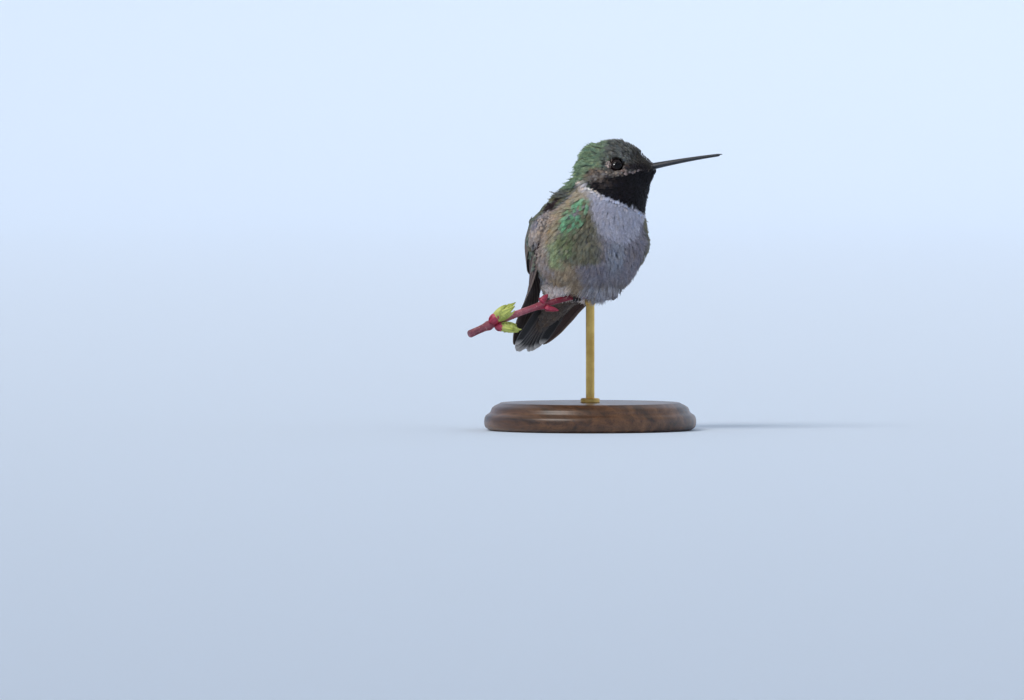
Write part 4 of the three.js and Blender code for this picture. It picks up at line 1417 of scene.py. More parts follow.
    def unwrap(self, mesh: bpy.types.Mesh, roots: Array, shape: Array, faces: Array) -> None:
        """Gives each feather a small patch of the bake map, at its root's place on the skin.

        The skin is unwrapped by the direction from the middle of this piece's roots, opened out from a
        ball to a square.

        Args:
            mesh: The coat piece's mesh.
            roots: Each feather's root.
            shape: The blade's vertices.
            faces: The corners of its faces.
        """
        middle = (roots.min(0) + roots.max(0)) / 2
        way = roots - (middle - unit((roots - middle).mean(0)) * 2.0)
        way = way / np.abs(way).sum(1, keepdims=True)
        flat = way[:, :2].copy()
        low = way[:, 2] < 0
        folded = (1 - np.abs(flat[:, ::-1])) * np.where(flat >= 0, 1, -1)
        flat[low] = folded[low]
        square = (flat + 1) / 2 * (1 - 2 * BAKE_PATCH) + BAKE_PATCH / 2
        patch = np.stack([(shape[:, 0] + 1) / 2, shape[:, 1]], -1) * BAKE_PATCH
        uv = square[:, None, :] + patch[None]
        corner = uv[:, faces.reshape(-1)]
        layer = mesh.uv_layers.new(name="OFBake")
        layer.data.foreach_set("uv", corner.astype(np.float32).reshape(-1))

    def make(self) -> None:
        """Lays the whole coat, tract by tract."""
        def spacing(points: Array) -> Array:
            away = from_head(points)
            gap = 0.5 + 0.02 * ramp(8.5, 13, away) + 0.12 * ramp(-3, -9, points[:, 0]) * (away > 12)
            eyes = np.minimum(*(np.linalg.norm(points - HEAD.out([Eye.forward, side * 6.2, Eye.up]), axis=1)
                                for side in (LEFT, RIGHT)))
            gap = gap * (0.65 + 0.35 * ramp(2.6, 4.2, eyes))
            return gap * (0.62 + 0.38 * ramp(1.0, 7.5, from_bill(points)))

        roots = self.spread(spacing, 6.0)
        roots = roots[self.open_to_air(roots)]
        covered = self.flesh.covered
        closest = np.argmin([self.flesh.away(name, roots[:, :3]) for name in covered], axis=0)
        special = {"wing_left_coverts": ("wing_left", WING_TRACT),
                   "wing_right_coverts": ("wing_right", WING_TRACT),
                   "tail_coverts_upper": ("tail", RUMP_TRACT), "tail_coverts_under": ("tail", VENT_TRACT)}
        for name, (kind, tract) in special.items():
            chosen = roots[closest == covered.index(name)]
            size = 1.0
            if kind.startswith("wing"):
                size = 0.45 + 0.75 * ramp(0, 13, WINGS[kind].nearest(chosen[:, :3]))
            self.lay(tract, chosen, kind, f"coat_{name}", size)
        body = roots[closest < 3]
        places = Places(body[:, :3])
        left_over = np.ones(len(body), bool)
        for tract in TRACTS:
            inside = np.asarray(tract.where(places), bool) & left_over
            left_over &= ~inside
            chosen = body[inside]
            small = 0.55 + 0.45 * ramp(1.0, 7.0, from_bill(chosen[:, :3]))
            self.lay(tract, chosen, "body", tract.name, small)


# ---- flight feathers
@dataclass(frozen=True)
class Quill:
    """One flight feather, laid on a wing's or the tail's own measures of along, across and outwards."""

    root: tuple[float, float]
    tip: tuple[float, float]
    half: float
    layer: float
    bow: float = 0.0
    lead: float = 0.5  # the share of the vane that lies ahead of the shaft
    thick: float = 0.12
    rounded: float = 6.0  # how late the sides draw in to the tip

    columns = (-1.0, -0.9, -0.6, -0.12, -0.05, 0.0, 0.05, 0.12, 0.6, 0.9, 1.0)
    rows: int = 30

    def blade(self, place: Callable[..., Array], tint: Callable[..., Array], phase: float
              ) -> BMesh:
        """Makes the feather with its shaft raised along it.

        Args:
            place: Takes millimetres along, across and outwards to the part's frame.
            tint: Takes each point's share across, share along and distance along to its colour.
            phase: A number that makes the small unevenness of its edges its own.

        Returns:
            The feather, in millimetres.
        """
        bm = slab(len(self.columns) - 1, self.rows)
        flat = corners(bm)
        index = np.rint((flat[:, 0] + 0.5) * (len(self.columns) - 1)).astype(int)
        column = np.array(self.columns)[index]
        t = flat[:, 1] + 0.5
        share = 1 - (1 - t) ** 1.15
        shaft = 2 * self.lead - 1
        across = np.where(column < 0, column * (1 + shaft) + shaft, column * (1 - shaft) + shaft)
        across = np.where(np.abs(column) <= 0.12, shaft + column * 0.55, across)
        width = self.half * np.minimum(1, share * 4 + 0.3) * (1 - share ** self.rounded) ** 0.6 + 0.15
        edge = np.abs(column) > 0.85
        width = width * (1 + edge * 0.035 * np.sin(share * 37 + phase * 5) * np.sin(share * 11 + phase))
        centre = self.root[1] + (self.tip[1] - self.root[1]) * share + self.bow * np.sin(np.pi * share)
        along = self.root[0] + (self.tip[0] - self.root[0]) * share
        slant = 0.35 * self.half * (1 - np.abs(across)) * ramp(0.8, 1, share)
        raised = np.where(np.abs(column) < 0.02, 0.1 * (1 - 0.75 * share), 0)
        curve = -0.05 * self.half * across ** 2
        outwards = self.layer + curve + np.where(flat[:, 2] > -0.5, self.thick / 2 + raised, -self.thick / 2)
        note(bm, "Vane", np.stack([(across - shaft) * width, along, np.full(len(t), phase)], -1))
        note(bm, "Tint", tint(column, share, along))
        move_to(bm, place(along - slant * 0.3, centre + across * width, outwards))
        return bm


@dataclass
class WingPlan:
    """A folded wing, measured back from its leading edge. Its numbers repeat those of its solid."""

    side: int
    edge_points: tuple = ((2, -13.6, 55.8), (-2.2, -14.4, 48.4), (-10.6, -11.2, 38), (-14.8, -9.9, 33.7),
                          (-19.4, -8.4, 29.3), (-23.9, -6.8, 24.6), (-27.6, -4.9, 20.9))
    across_at_bend: tuple = (-0.78, 0.12, 0.62)
    across_at_tip: tuple = (-0.12, 0.9, 0.42)
    body_radius: float = 15.0
    free_radius: float = 26.0
    shorter: tuple = (0, 0.8, 3.2, 6.6, 10.2, 14, 17.6, 20.6, 23, 25)
    reaches: tuple = (26, 25.6, 25.2, 24.8, 24.4, 24)
    dark: int = 0x54433F
    band: int = 0x806C60
    rim: int = 0x97897B

    def __post_init__(self) -> None:
        """Gets the leading edge ready."""
        self.edge = Curve(self.edge_points)
        self.name = "wing_left" if self.side == LEFT else "wing_right"

    def place(self, s: Array, q: Array, n: Array) -> Array:
        """Takes millimetres along the edge, across and outwards to the part's frame."""
        t = np.clip(s / self.edge.length, 0, 1)
        ahead = self.edge.ahead(t * self.edge.length)
        bend, tip = np.array(self.across_at_bend), np.array(self.across_at_tip)
        hint = bend + (tip - bend) * ramp(0.32, 0.82, t)[:, None]
        across = flatten(hint, ahead)
        out = unit(np.cross(across, ahead))
        radius = self.body_radius + (self.free_radius - self.body_radius) * ramp(0.2, 0.7, t)
        p = self.edge.at(t * self.edge.length) + ahead * (s - t * self.edge.length)[:, None]
        p = p + across * q[:, None] + out * (n - q * q / (2 * radius))[:, None]
        return p * np.array([1, -self.side, 1])

    def nearest(self, points: Array) -> Array:
        """Returns how far along the leading edge points lie."""
        s = np.linspace(0, self.edge.length, 120)
        line = self.edge.at(s) * np.array([1, -self.side, 1])
        return s[np.argmin(np.linalg.norm(points[:, None] - line[None], axis=2), axis=1)]

    def ahead(self, s: Array) -> Array:
        """Returns the leading edge's direction at distances along it."""
        return self.edge.ahead(s) * np.array([1, -self.side, 1])

    def colours(self, green: float) -> Callable[..., Array]:
        """Makes the colouring of its flight feathers: dusky, paler along the outer web and the rim."""
        def tint(column: Array, share: Array, along: Array) -> Array:
            own = tone(self.dark) * (1 - green) + tone(0x3E4A3A) * green
            tint = blend(own, tone(self.band), ramp(-0.2, -0.7, column) * 0.55)
            rim = ramp(0.86, 0.99, np.abs(column)) * 0.55 + ramp(0.965, 1.0, share) * 0.3
            tint = blend(tint, tone(self.rim), rim)
            return blend(tint, tone(0x1D1716), ramp(0.08, 0.02, np.abs(column)) * 0.6)
        return tint

    def make(self) -> None:
        """Makes the ten primaries and six secondaries as two pieces."""
        primary, secondary = [], []
        for i, short in enumerate(self.shorter):
            q = 0.9 + 1.15 * i if i < 6 else 6.65 + 0.85 * (i - 5)
            primary.append(Quill((9.5, 0.1 + min(1.28 * i, 6.4) + 0.4 * max(0, i - 5)),
                                 (self.edge.length - 0.3 - short, q - 0.3), 1.9, -0.26 + 0.085 * i, 0.5,
                                 0.27))
        for i, reach in enumerate(self.reaches):
            secondary.append(Quill((7, 5.4 + 0.62 * i), (reach, 6.4 + 0.78 * i), 2.0, 0.86 + 0.1 * i, 0.0,
                                   0.36, rounded=7.0))
        for sort, node, quills, green, first in (("primary", "primaries", primary, 0.0, 0),
                                                 ("secondary", "secondaries", secondary, 0.3, 20)):
            blades = [q.blade(self.place, self.colours(green), first + i) for i, q in enumerate(quills)]
            add_piece(f"{self.name}_{sort}_feathers", mesh_from(node, join(blades)), Finish.VANE,
                      "flight_feather", f"{self.name}_{node}")


@dataclass
class TailPlan:
    """The folded tail, measured from its root. Its numbers repeat those of its solid."""

    root: tuple = (-8.0, 0.0, 38.2)
    slope: float = 41.3
    length: float = 28.4
    step: float = 0.13
    sag: float = 0.012
    shorter: tuple = (0.7, 0, 0.4, 1.6, 3.4)

    def ahead(self) -> Array:
        """Returns the tail's direction."""
        a = math.radians(self.slope)
        return np.array([-math.cos(a), 0.0, -math.sin(a)])

    def place(self, s: Array, q: Array, n: Array) -> Array:
        """Takes millimetres along the tail, to the left and above it to the part's frame."""
        a = math.radians(self.slope)
        above = np.array([-math.sin(a), 0.0, math.cos(a)])
        p = np.array(self.root) + self.ahead() * s[:, None] + above * (n - self.sag * q * q)[:, None]
        p[:, 1] = q
        return p

    def colours(self, rank: int) -> Callable[..., Array]:
        """Makes the colouring of a pair: the middle one green, the outer ones dusky with rusty edges."""
        own = tone(0x2F3A33) if rank == 0 else tone(0x1D1A1C)
        rust = {1: 0.25, 2: 0.5, 3: 0.35, 4: 0.15}.get(rank, 0.0)

        def tint(column: Array, share: Array, along: Array) -> Array:
            edge = ramp(0.8, 0.98, np.abs(column))
            tint = blend(own, tone(0x8A5A3C), edge * rust * ramp(0.9, 0.5, share))
            pale = (edge * 0.22 + ramp(0.9, 0.99, share)) * ramp(0.3, 0.9, share)
            tint = blend(tint, tone(0xDAD5D0), pale)
            return blend(tint, tone(0x171415), ramp(0.08, 0.02, np.abs(column)) * 0.5)
        return tint

    def make(self) -> None:
        """Makes the five pairs of tail feathers as one piece."""
        blades = []
        for side in (LEFT, RIGHT):
            for rank, short in enumerate(self.shorter):
                layer = 0.1 - self.step * rank - (0.06 if side > 0 else 0)
                fan = 1.0 if side > 0 else 1.55  # the near half lies opened a little further
                quill = Quill((0, side * (0.4 + 0.46 * rank * fan * fan)),
                              (self.length - short, side * (0.65 + 0.62 * rank * fan)),
                              1.8 - 0.06 * rank, layer, lead=0.5 + side * 0.14, rounded=9.0)
                blades.append(quill.blade(self.place, self.colours(rank), 40 + side * 10 + rank))
        add_piece("tail_feathers", mesh_from("tail", join(blades)), Finish.VANE, "flight_feather", "tail")


WINGS = {plan.name: plan for plan in (WingPlan(LEFT), WingPlan(RIGHT))}
TAIL = TailPlan()


# ---- head parts
@dataclass
class Eye:
    """An eye and its bare lids, on the head's own measures."""

    radius = 1.6
    forward = 1.3
    out = 5.8
    up = 2.1
    bare = 1.35  # no feather stands within this of the eye's axis
    opening: tuple[float, float] = (1.1, 0.9)
    lid: float = 0.22  # how wide the ring of bare skin is, as a share of the fold's own width
    iris_angle: float = 50.0

    def axes(self, side: int) -> tuple[Array, Array]:
        """Returns an eye's centre and its axes: ahead, up and outwards, slightly forwards."""
        centre = HEAD.out([[self.forward, side * self.out, self.up]])[0]
        outwards = unit(np.array([0.16, side * 1.0, 0.06]) @ HEAD.axes())
        ahead = flatten(np.array([1.0, 0, 0]) @ HEAD.axes(), outwards)
        return centre, np.array([ahead, unit(np.cross(outwards, ahead)) * side, outwards])

    def ball(self, side: int, word: str) -> bpy.types.Object:
        """Makes the eyeball, a little smaller than its solid, with its front slightly bulged."""
        centre, axes = self.axes(side)
        bm = bmesh.new()
        bmesh.ops.create_uvsphere(bm, u_segments=48, v_segments=32, radius=self.radius)
        local = corners(bm)
        angle = np.degrees(np.arccos(np.clip(local[:, 2] / self.radius, -1, 1)))
        note(bm, "Ring", np.clip(angle / self.iris_angle, 0, 1))
        bulge = 1 + 0.045 * ramp(52, 20, angle)
        move_to(bm, centre + (local * bulge[:, None]) @ axes)
        return add_piece(f"eyeball_{word}", mesh_from("eyeball", bm, 180), Finish.EYE, "eye", f"eye_{word}")

    def lids(self, side: int, word: str) -> None:
        """Makes the bare ring of skin round the eye, folded twice, with its rim on the ball."""
        centre, axes = self.axes(side)
        wide, high = self.opening
        fold = ((0.0, -0.14), (0.02, 0.05), (0.1, 0.12), (0.2, 0.07), (0.28, 0.13), (0.38, 0.05),
                (0.48, 0.08), (0.62, -0.08), (0.66, -0.35), (0.3, -0.4))
        bm = turned([(1 + a, b) for a, b in fold], 64, closed=True)
        local = corners(bm)
        away = 1 + (np.hypot(local[:, 0], local[:, 1]) - 1) * self.lid
        angle = np.arctan2(local[:, 1], local[:, 0])
        lift = local[:, 2] * 0.8 + 0.02 * np.sin(angle * 17) * ramp(0.1, 0.3, away - 1)
        sharp = 1 + 0.1 * np.abs(np.cos(angle)) ** 6
        x = np.cos(angle) * (wide * sharp + (away - 1))
        y = np.sin(angle) * (high + (away - 1))
        from_axis = np.minimum(np.hypot(x, y), self.radius * 0.985)
        on_ball = np.sqrt(self.radius ** 2 - from_axis ** 2)
        note(bm, "Gloss", 0.5 - 0.5 * np.sin(angle + 0.3))
        move_to(bm, centre + np.stack([x, y, on_ball + lift], -1) @ axes)
        add_piece(f"eyelids_{word}", mesh_from("eyelids", bm, 180), Finish.LID, "eye")

    def make(self) -> list[bpy.types.Object]:
        """Makes both eyes and returns the balls."""
        balls = []
        for side, word in ((LEFT, "left"), (RIGHT, "right")):
            balls.append(self.ball(side, word))
            self.lids(side, word)
        return balls


@dataclass
class Bill:
    """The long bill, slightly raised, on the head's own measures. It repeats its solid's line."""

    root: tuple[float, float] = (8.2, 1.35)
    bend: tuple[float, float] = (18.0, 3.55)
    tip: tuple[float, float] = (27.6, 4.75)
    rows: int = 70
    sides: int = 24

    def half(self, upper: int) -> BMesh:
        """Makes the upper (1) or the lower (-1) half, rounded outside and flat where they close."""
        reach = 1.0 if upper > 0 else 0.965
        start, middle, end = (HEAD.out([[x, 0, z]])[0] for x, z in (self.root, self.bend, self.tip))
        side = np.array([0.0, 1.0, 0.0]) @ HEAD.axes()

        def place(share: Array, angle: Array) -> Array:
            u = (share * reach)[:, None]
            line = start * (1 - u) ** 2 + middle * 2 * u * (1 - u) + end * u ** 2
            ahead = unit((middle - start) * (1 - u) + (end - middle) * u)
            up = np.cross(ahead, side)
            u = u[:, 0]
            narrow = np.where(u > 0.93, 1 - (1 - 0.4) * ((u - 0.93) / 0.07) ** 1.5, 1) * np.where(
                share > 0.995, 0.45, 1)
            high = (0.86 + (0.3 - 0.86) * u ** 0.8) * narrow
            wide = (1.05 + (0.36 - 1.05) * u ** 0.7) * narrow
            ridge = 1 + 0.1 * ramp(0.75, 1.0, np.sin(angle)) * ramp(0.5, 0.0, u) * (upper > 0)
            rise = np.sin(angle) * upper
            rise = np.where(rise > 0, rise * high * ridge, rise * 0.04) * upper
            lip = np.where(np.abs(np.sin(angle)) < 0.1, 1.02, 1.0)
            groove = 1 - 0.09 * np.exp(-((np.abs(np.degrees(angle) - 90) - 58) / 11) ** 2) * ramp(
                0.45, 0.1, u) * (upper > 0)
            return line + side * (np.cos(angle) * wide * lip * groove)[:, None] + up * (
                rise + 0.03 * upper)[:, None]

        share = 1 - (1 - np.linspace(0, 1, self.rows)) ** 1.1
        return tube(place, share, self.sides, 0.5, 20)

    def make(self) -> None:
        """Makes both halves."""
        for name, upper in (("bill_upper", 1), ("bill_lower", -1)):
            add_piece(f"{name}_horn", mesh_from(name, self.half(upper), 50), Finish.BILL, "horn", name)


# ---- perch and feet
@dataclass
class Twig:
    """The cut maple twig that the bird grips, with its pair of buds and pair of opening leaves."""

    line_points: tuple = ((1.1, 7.2, 34.3), (0.3, 2, 34.15), (-0.6, -4.4, 34), (-1.3, -10, 32.9),
                          (-2.2, -18, 30.8), (-3, -27, 27.8), (-3.7, -35, 24.8))
    tip_radius: float = 0.62
    cut_radius: float = 0.98
    swell: float = 0.32
    pair_at: float = -14.0
    leaves_at: float = -29.3
    rows: int = 260
    sides: int = 28

    def __post_init__(self) -> None:
        """Gets the line ready."""
        self.line = Curve(self.line_points)
        self.joints = [self.line.where(1, y) / self.line.length for y in (self.pair_at, self.leaves_at)]

    def radius(self, t: Array) -> Array:
        """Returns the radius at shares of the length from the tip."""
        thick = self.tip_radius + (self.cut_radius - self.tip_radius) * t
        for joint in self.joints:
            thick = thick + self.swell * np.exp(-((t - joint) / 0.02) ** 2)
        return thick

    def wood(self) -> None:
        """Makes the twig: rings where last year's bud scales fell, ridges at the joints, a cut end."""
        length = self.line.length

        def place(t: Array, angle: Array) -> Array:
            s = t * length
            thick = self.radius(t)
            for joint in self.joints:
                for ring in range(6):
                    at = joint * length + 0.9 + ring * 0.32
                    thick = thick + 0.055 * np.exp(-((s - at) / 0.09) ** 2)
            points = np.stack([np.cos(angle) * 2.2, np.sin(angle) * 2.2, s * 0.35], -1)
            thick = thick * (1 + 0.05 * speckle(points, 1.3) + 0.02 * speckle(points * 3, 1.0))
            ends = np.minimum(s, length - s)
            thick = thick * (0.82 + 0.18 * ramp(0, 0.35, ends)) * (1 - 0.35 * (ends < 1e-6))
            ahead = self.line.ahead(s)
            return around(self.line.at(s), ahead, UP, angle, thick, thick)

        share = np.unique(np.concatenate([np.linspace(0, 1, self.rows), [0.0008, 0.0025, 0.9975, 0.9992]]))
        bm = tube(place, share, self.sides, 0.8, length)
        near = np.interp(-corners(bm)[:, 1], -self.line.points[:, 1], self.line.measure) / length
        note(bm, "Gloss", near)
        add_piece("twig", mesh_from("twig", bm, 60), Finish.BARK, "twig_bark", "perch_twig")

    def seat(self, y: float, towards: tuple[float, float, float]) -> tuple[Array, Array, Array]:
        """Finds where a bud leaves the twig.

        Args:
            y: How far along the twig the bud sits.
            towards: The way that it leans.

        Returns:
            Its foot, its direction, and the direction it faces away from the twig.
        """
        s = np.array([self.line.where(1, y)])
        ahead = self.line.ahead(s)[0]
        lean = unit(np.array(towards, float))
        side = flatten(lean, ahead)
        foot = self.line.at(s)[0] + side * (self.radius(s / self.line.length)[0] - 0.12)
        return foot, lean, side

    def scale(self, foot: Array, lean: Array, out: Array, length: float, half: float,
              belly: float, phase: float, curl: float = 0.0, pleats: int = 0) -> BMesh:
        """Makes one bud scale or young leaf: a pointed shell, hollow towards the bud's axis.

        Args:
            foot: Where it starts.
            lean: The bud's direction.
            out: The side of the bud that it covers.
            length: Its length.
            half: Half its width.
            belly: How far it bulges from the axis.
            phase: A number that makes it uneven in its own way.
            curl: How far its tip bends outwards.
            pleats: How many folds it has between its veins.

        Returns:
            The shell, in millimetres.
        """
        out = flatten(out, lean)
        side = np.cross(lean, out)
        bm = slab(12 if pleats else 8, 14)
        flat = corners(bm)
        x, t = flat[:, 0] * 2, flat[:, 1] + 0.5
        wide = half * np.sin(np.pi * np.clip(t * 0.92 + 0.06, 0, 1) ** 0.85) ** 0.75 + 0.05
        if pleats:
            wide = wide * (1 + 0.16 * np.sin(t * 34 + phase) * (np.abs(x) > 0.8))
        arc = x * wide / max(half, 0.01) * 1.15
        round_off = belly * np.sin(np.pi * np.clip(t * 0.9 + 0.08, 0, 1)) ** 0.8
        fold = 0.13 * np.cos(x * math.pi * pleats) * ramp(0.05, 0.4, t) if pleats else 0
        thick = np.where(flat[:, 2] < -0.5, -0.07, 0.0) * (1 - 0.6 * t)
        radial = round_off * np.cos(arc) + curl * t ** 2 + fold + thick
        lateral = np.sin(arc) * np.maximum(wide * 0.95, 0.02)
        note(bm, "Vane", np.stack([x * half, t * length, np.full(len(t), phase)], -1))
        note(bm, "Gloss", np.clip(0.25 + 0.45 * t + 0.15 * np.sin(phase * 3 + x), 0, 1))
        move_to(bm, foot + lean * (t * length)[:, None] + out * radial[:, None] + side * lateral[:, None])
        return bm

    def bud(self, name: str, node: str, y: float, towards: tuple, length: float, radius: float) -> None:
        """Makes a closed red bud of overlapping pairs of scales."""
        foot, lean, side = self.seat(y, towards)
        other = np.cross(lean, side)
        shells = [self.core(foot, lean, length * 0.95, radius * 0.8)]
        for pair in range(4):
            for turn in (0, 1):
                out = (side if pair % 2 else other) * (1 if turn else -1)
                share = 0.42 + 0.18 * pair
                shells.append(self.scale(foot, lean, out, length * share, radius * (1.05 - 0.08 * pair),
                                         radius * (1.0 - 0.1 * pair), pair + turn * 0.5))
        add_piece(name, mesh_from(name, join(shells), 60), Finish.BUD, "bud", node)

    def core(self, foot: Array, lean: Array, length: float, radius: float) -> BMesh:
        """Makes the closed middle of a bud."""
        def place(t: Array, angle: Array) -> Array:
            thick = radius * np.sin(np.pi * (0.05 + 0.95 * t) ** 0.9) ** 0.8 + 0.02
            line = foot + lean * (t * length)[:, None]
            return around(line, np.broadcast_to(lean, line.shape), np.array([0.2, 0.1, 1]), angle, thick,
                          thick)

        bm = tube(place, np.linspace(0, 1, 14), 12, radius, length)
        note(bm, "Gloss", np.full(len(bm.verts), 0.3))
        return bm

    def leaves(self, word: str, y: float, towards: tuple, length: float, radius: float) -> None:
        """Makes an opening bud: red scales at its foot, and pleated young leaves spreading from it."""
        foot, lean, side = self.seat(y, towards)
        other = np.cross(lean, side)
        shells = [self.core(foot, lean, length * 0.5, radius * 0.5)]
        for pair in range(2):
            for turn in (-1, 1):
                out = (side if pair else other) * turn
                shells.append(self.scale(foot, lean, out, length * (0.36 + 0.1 * pair), radius * 0.62,
                                         radius * 0.55, pair, 0.25))
        add_piece(f"leaf_bud_{word}", mesh_from("leaf_bud", join(shells), 60), Finish.BUD, "bud")
        blades = []
        for k in range(7):
            turn = k * 2.4
            out = math.cos(turn) * side + math.sin(turn) * other
            reach = length * (0.98 - 0.07 * (k % 3) - 0.03 * k)
            blades.append(self.scale(foot + lean * length * 0.08, lean, out, reach * 0.92,
                                     radius * (0.72 - 0.03 * k), radius * (0.34 + 0.05 * k), k,
                                     radius * (0.12 + 0.07 * k), 3))
        add_piece(f"young_leaves_{word}", mesh_from("leaves", join(blades), 60), Finish.LEAF, "leaf",
                  f"perch_leaves_{word}")

    def make(self) -> None:
        """Makes the twig with its buds and leaves."""
        self.wood()
        self.bud("red_bud_upper", "perch_bud_upper", self.pair_at - 0.3, (0.3, 0.64, 0.7), 3.0, 0.98)
        self.bud("red_bud_lower", "perch_bud_lower", self.pair_at + 0.4, (0.5, 0.84, -0.2), 3.9, 0.86)
        self.leaves("upper", self.leaves_at, (0.4, 0.7, 0.6), 8.6, 2.3)
        self.leaves("lower", self.leaves_at + 1.2, (0.5, 0.84, -0.1), 7.0, 2.1)


@dataclass
class Foot:
    """One small foot: three toes forwards and one back, closed round the twig, each with its claw."""

    twig: Twig
    spread: float = 4.2
    hip: tuple[float, float, float] = (-1.6, 0.0, 5.0)
    toe_radius: float = 0.35
    leg_radius: float = 0.42
    gap: float = 0.02
    toes: tuple = ((-0.9, 200), (0.0, 215), (0.9, 200), (0.1, -170))
    claw: float = 0.72  # the claw takes up the rest of the toe

    def grip(self, side: int) -> tuple[Array, ...]:
        """Returns the middle of the grip, the twig's axes there and its radius."""
        s = np.array([self.twig.line.where(1, side * self.spread)])
        ahead = self.twig.line.ahead(s)[0]
        forward = -unit(np.cross(ahead, UP))
        up = np.cross(ahead, forward)
        up = up if up[2] > 0 else -up
        return self.twig.line.at(s)[0], ahead, forward, up, self.twig.radius(s / self.twig.line.length)[0]

    def toe(self, side: int, shift: float, turn: float, part: str) -> BMesh:
        """Makes the scaled part of a toe, or its claw.

        Args:
            side: Which foot.
            shift: How far along the twig it stands from the foot's middle.
            turn: How far round the twig it goes, in degrees.
            part: "toe" or "claw".

        Returns:
            The mesh, in millimetres.
        """
        middle, ahead, forward, up, thick = self.grip(side)
        away = thick + self.toe_radius + self.gap
        share = np.linspace(0, 1, 40)
        angle = np.radians(turn * share)
        rise = np.where(share > self.claw, 0.5 * (share - self.claw), 0)
        path = middle + ahead * (shift * np.minimum(1, share * 2))[:, None]
        path = path + up * ((away + rise) * np.cos(angle))[:, None]
        path = path + forward * ((away + rise) * np.sin(angle))[:, None]
        line = Curve(path[::3] if len(path) % 3 == 1 else np.vstack([path[::3], path[-1:]]))
        low, high = (0.0, self.claw + 0.04) if part == "toe" else (self.claw - 0.02, 1.0)

        def place(t: Array, around_angle: Array) -> Array:
            at = low + (high - low) * t
            s = at * line.length
            if part == "toe":
                scutes = np.abs(np.sin(s * math.pi / 0.42)) ** 0.6
                radius = self.toe_radius * (0.86 + 0.16 * scutes) * (1 + 0.12 * np.sin(at * 17))
                radius = radius * np.where(t > 0.97, 0.7, 1)
            else:
                radius = self.toe_radius * 0.78 * (1 - t) ** 0.75 + 0.03
            outside = line.at(s) - middle
            return around(line.at(s), line.ahead(s), unit(flatten(outside, line.ahead(s))), around_angle,
                          radius * 0.9, radius)

        return tube(place, np.linspace(0, 1, 44 if part == "toe" else 16), 12, 0.3, 3)

    def leg(self, side: int) -> BMesh:
        """Makes the short bare leg above the toes."""
        middle, *_ = self.grip(side)
        ankle = middle + UP * (self.twig.tip_radius + self.toe_radius * 1.4)
        top = ankle + np.array(self.hip)

        def place(t: Array, angle: Array) -> Array:
            line = ankle + (top - ankle) * t[:, None]
            ahead = np.broadcast_to(unit(top - ankle), line.shape)
            scutes = np.abs(np.sin(t * 5.3 * math.pi / 0.55)) ** 0.6
            radius = self.leg_radius * (0.85 + 0.12 * scutes) * (1 + 0.35 * ramp(0.12, 0, t))
            return around(line, ahead, np.array([0.0, 1.0, 0.0]), angle, radius, radius)

        return tube(place, np.linspace(0, 1, 46), 14, 0.4, 5)

    def make(self) -> None:
        """Makes both feet and legs."""
        for side, word in ((LEFT, "left"), (RIGHT, "right")):
            for part, finish, nodes in (("toe", Finish.TOE, [f"foot_{word}"]), ("claw", Finish.CLAW, [])):
                made = join([self.toe(side, shift, turn, part) for shift, turn in self.toes])
                add_piece(f"{part}s_{word}", mesh_from(part, made, 70), finish, "horn", *nodes)
            add_piece(f"shank_{word}", mesh_from("shank", self.leg(side), 70), Finish.TOE, "horn",
                      f"leg_{word}")


# ---- stand and studio
@dataclass
class Stand:
    """The display stand: a turned walnut disc and one brass rod up to the twig."""

    rod_radius: float = 1.1
    height: float = 7.0  # of the disc
    profile: tuple = ((25.5, 0.0), (26.7, 0.8), (27.0, 2.0), (26.7, 3.6), (25.5, 4.6), (24.9, 5.8),
                      (22.8, 7.0))

    def base(self) -> None:
        """Makes the disc by turning its profile, with its edges eased."""
        line = Curve([(x, 0, z) for x, z in self.profile])
        rim = [(x, z) for x, _, z in line.at(np.linspace(0, line.length, 40))]
        top = [(x, self.height) for x in (20.0, 12.0, 0.0)]
        bm = turned([(0, 0), (14, 0), *rim, *top], 128)
        add_piece("base_disc", mesh_from("base", bm, 35), Finish.WALNUT, "wood", "stand_base")

    def rod(self) -> None:
        """Makes the rod, with a small foot collar and a cradle under the twig."""
        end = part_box("stand_rod")[1][2] / MM - self.height
        foot = [(0.0, 1.2), (0.1, 1.35), (0.9, 1.35), (1.15, 1.1), (1.25, 0.04), (1.3, 0.0)]
        neck = [(end - 2.2, 0.0), (end - 2.1, 0.22), (end - 1.0, 0.3), (end - 0.75, 0.24)]
        heights, proud = np.array(foot + neck).T
        radii = self.rod_radius + proud

        def place(t: Array, angle: Array) -> Array:
            h = t * heights[-1]
            r = np.interp(h, heights, radii)
            return np.stack([np.cos(angle) * r, np.sin(angle) * r, self.height + h], -1)

        bm = tube(place, heights / heights[-1], 48)
        add_piece("rod", mesh_from("rod", bm, 35), Finish.BRASS, "brass", "stand_rod")

    def make(self) -> None:
        """Makes the stand."""
        self.base()
        self.rod()


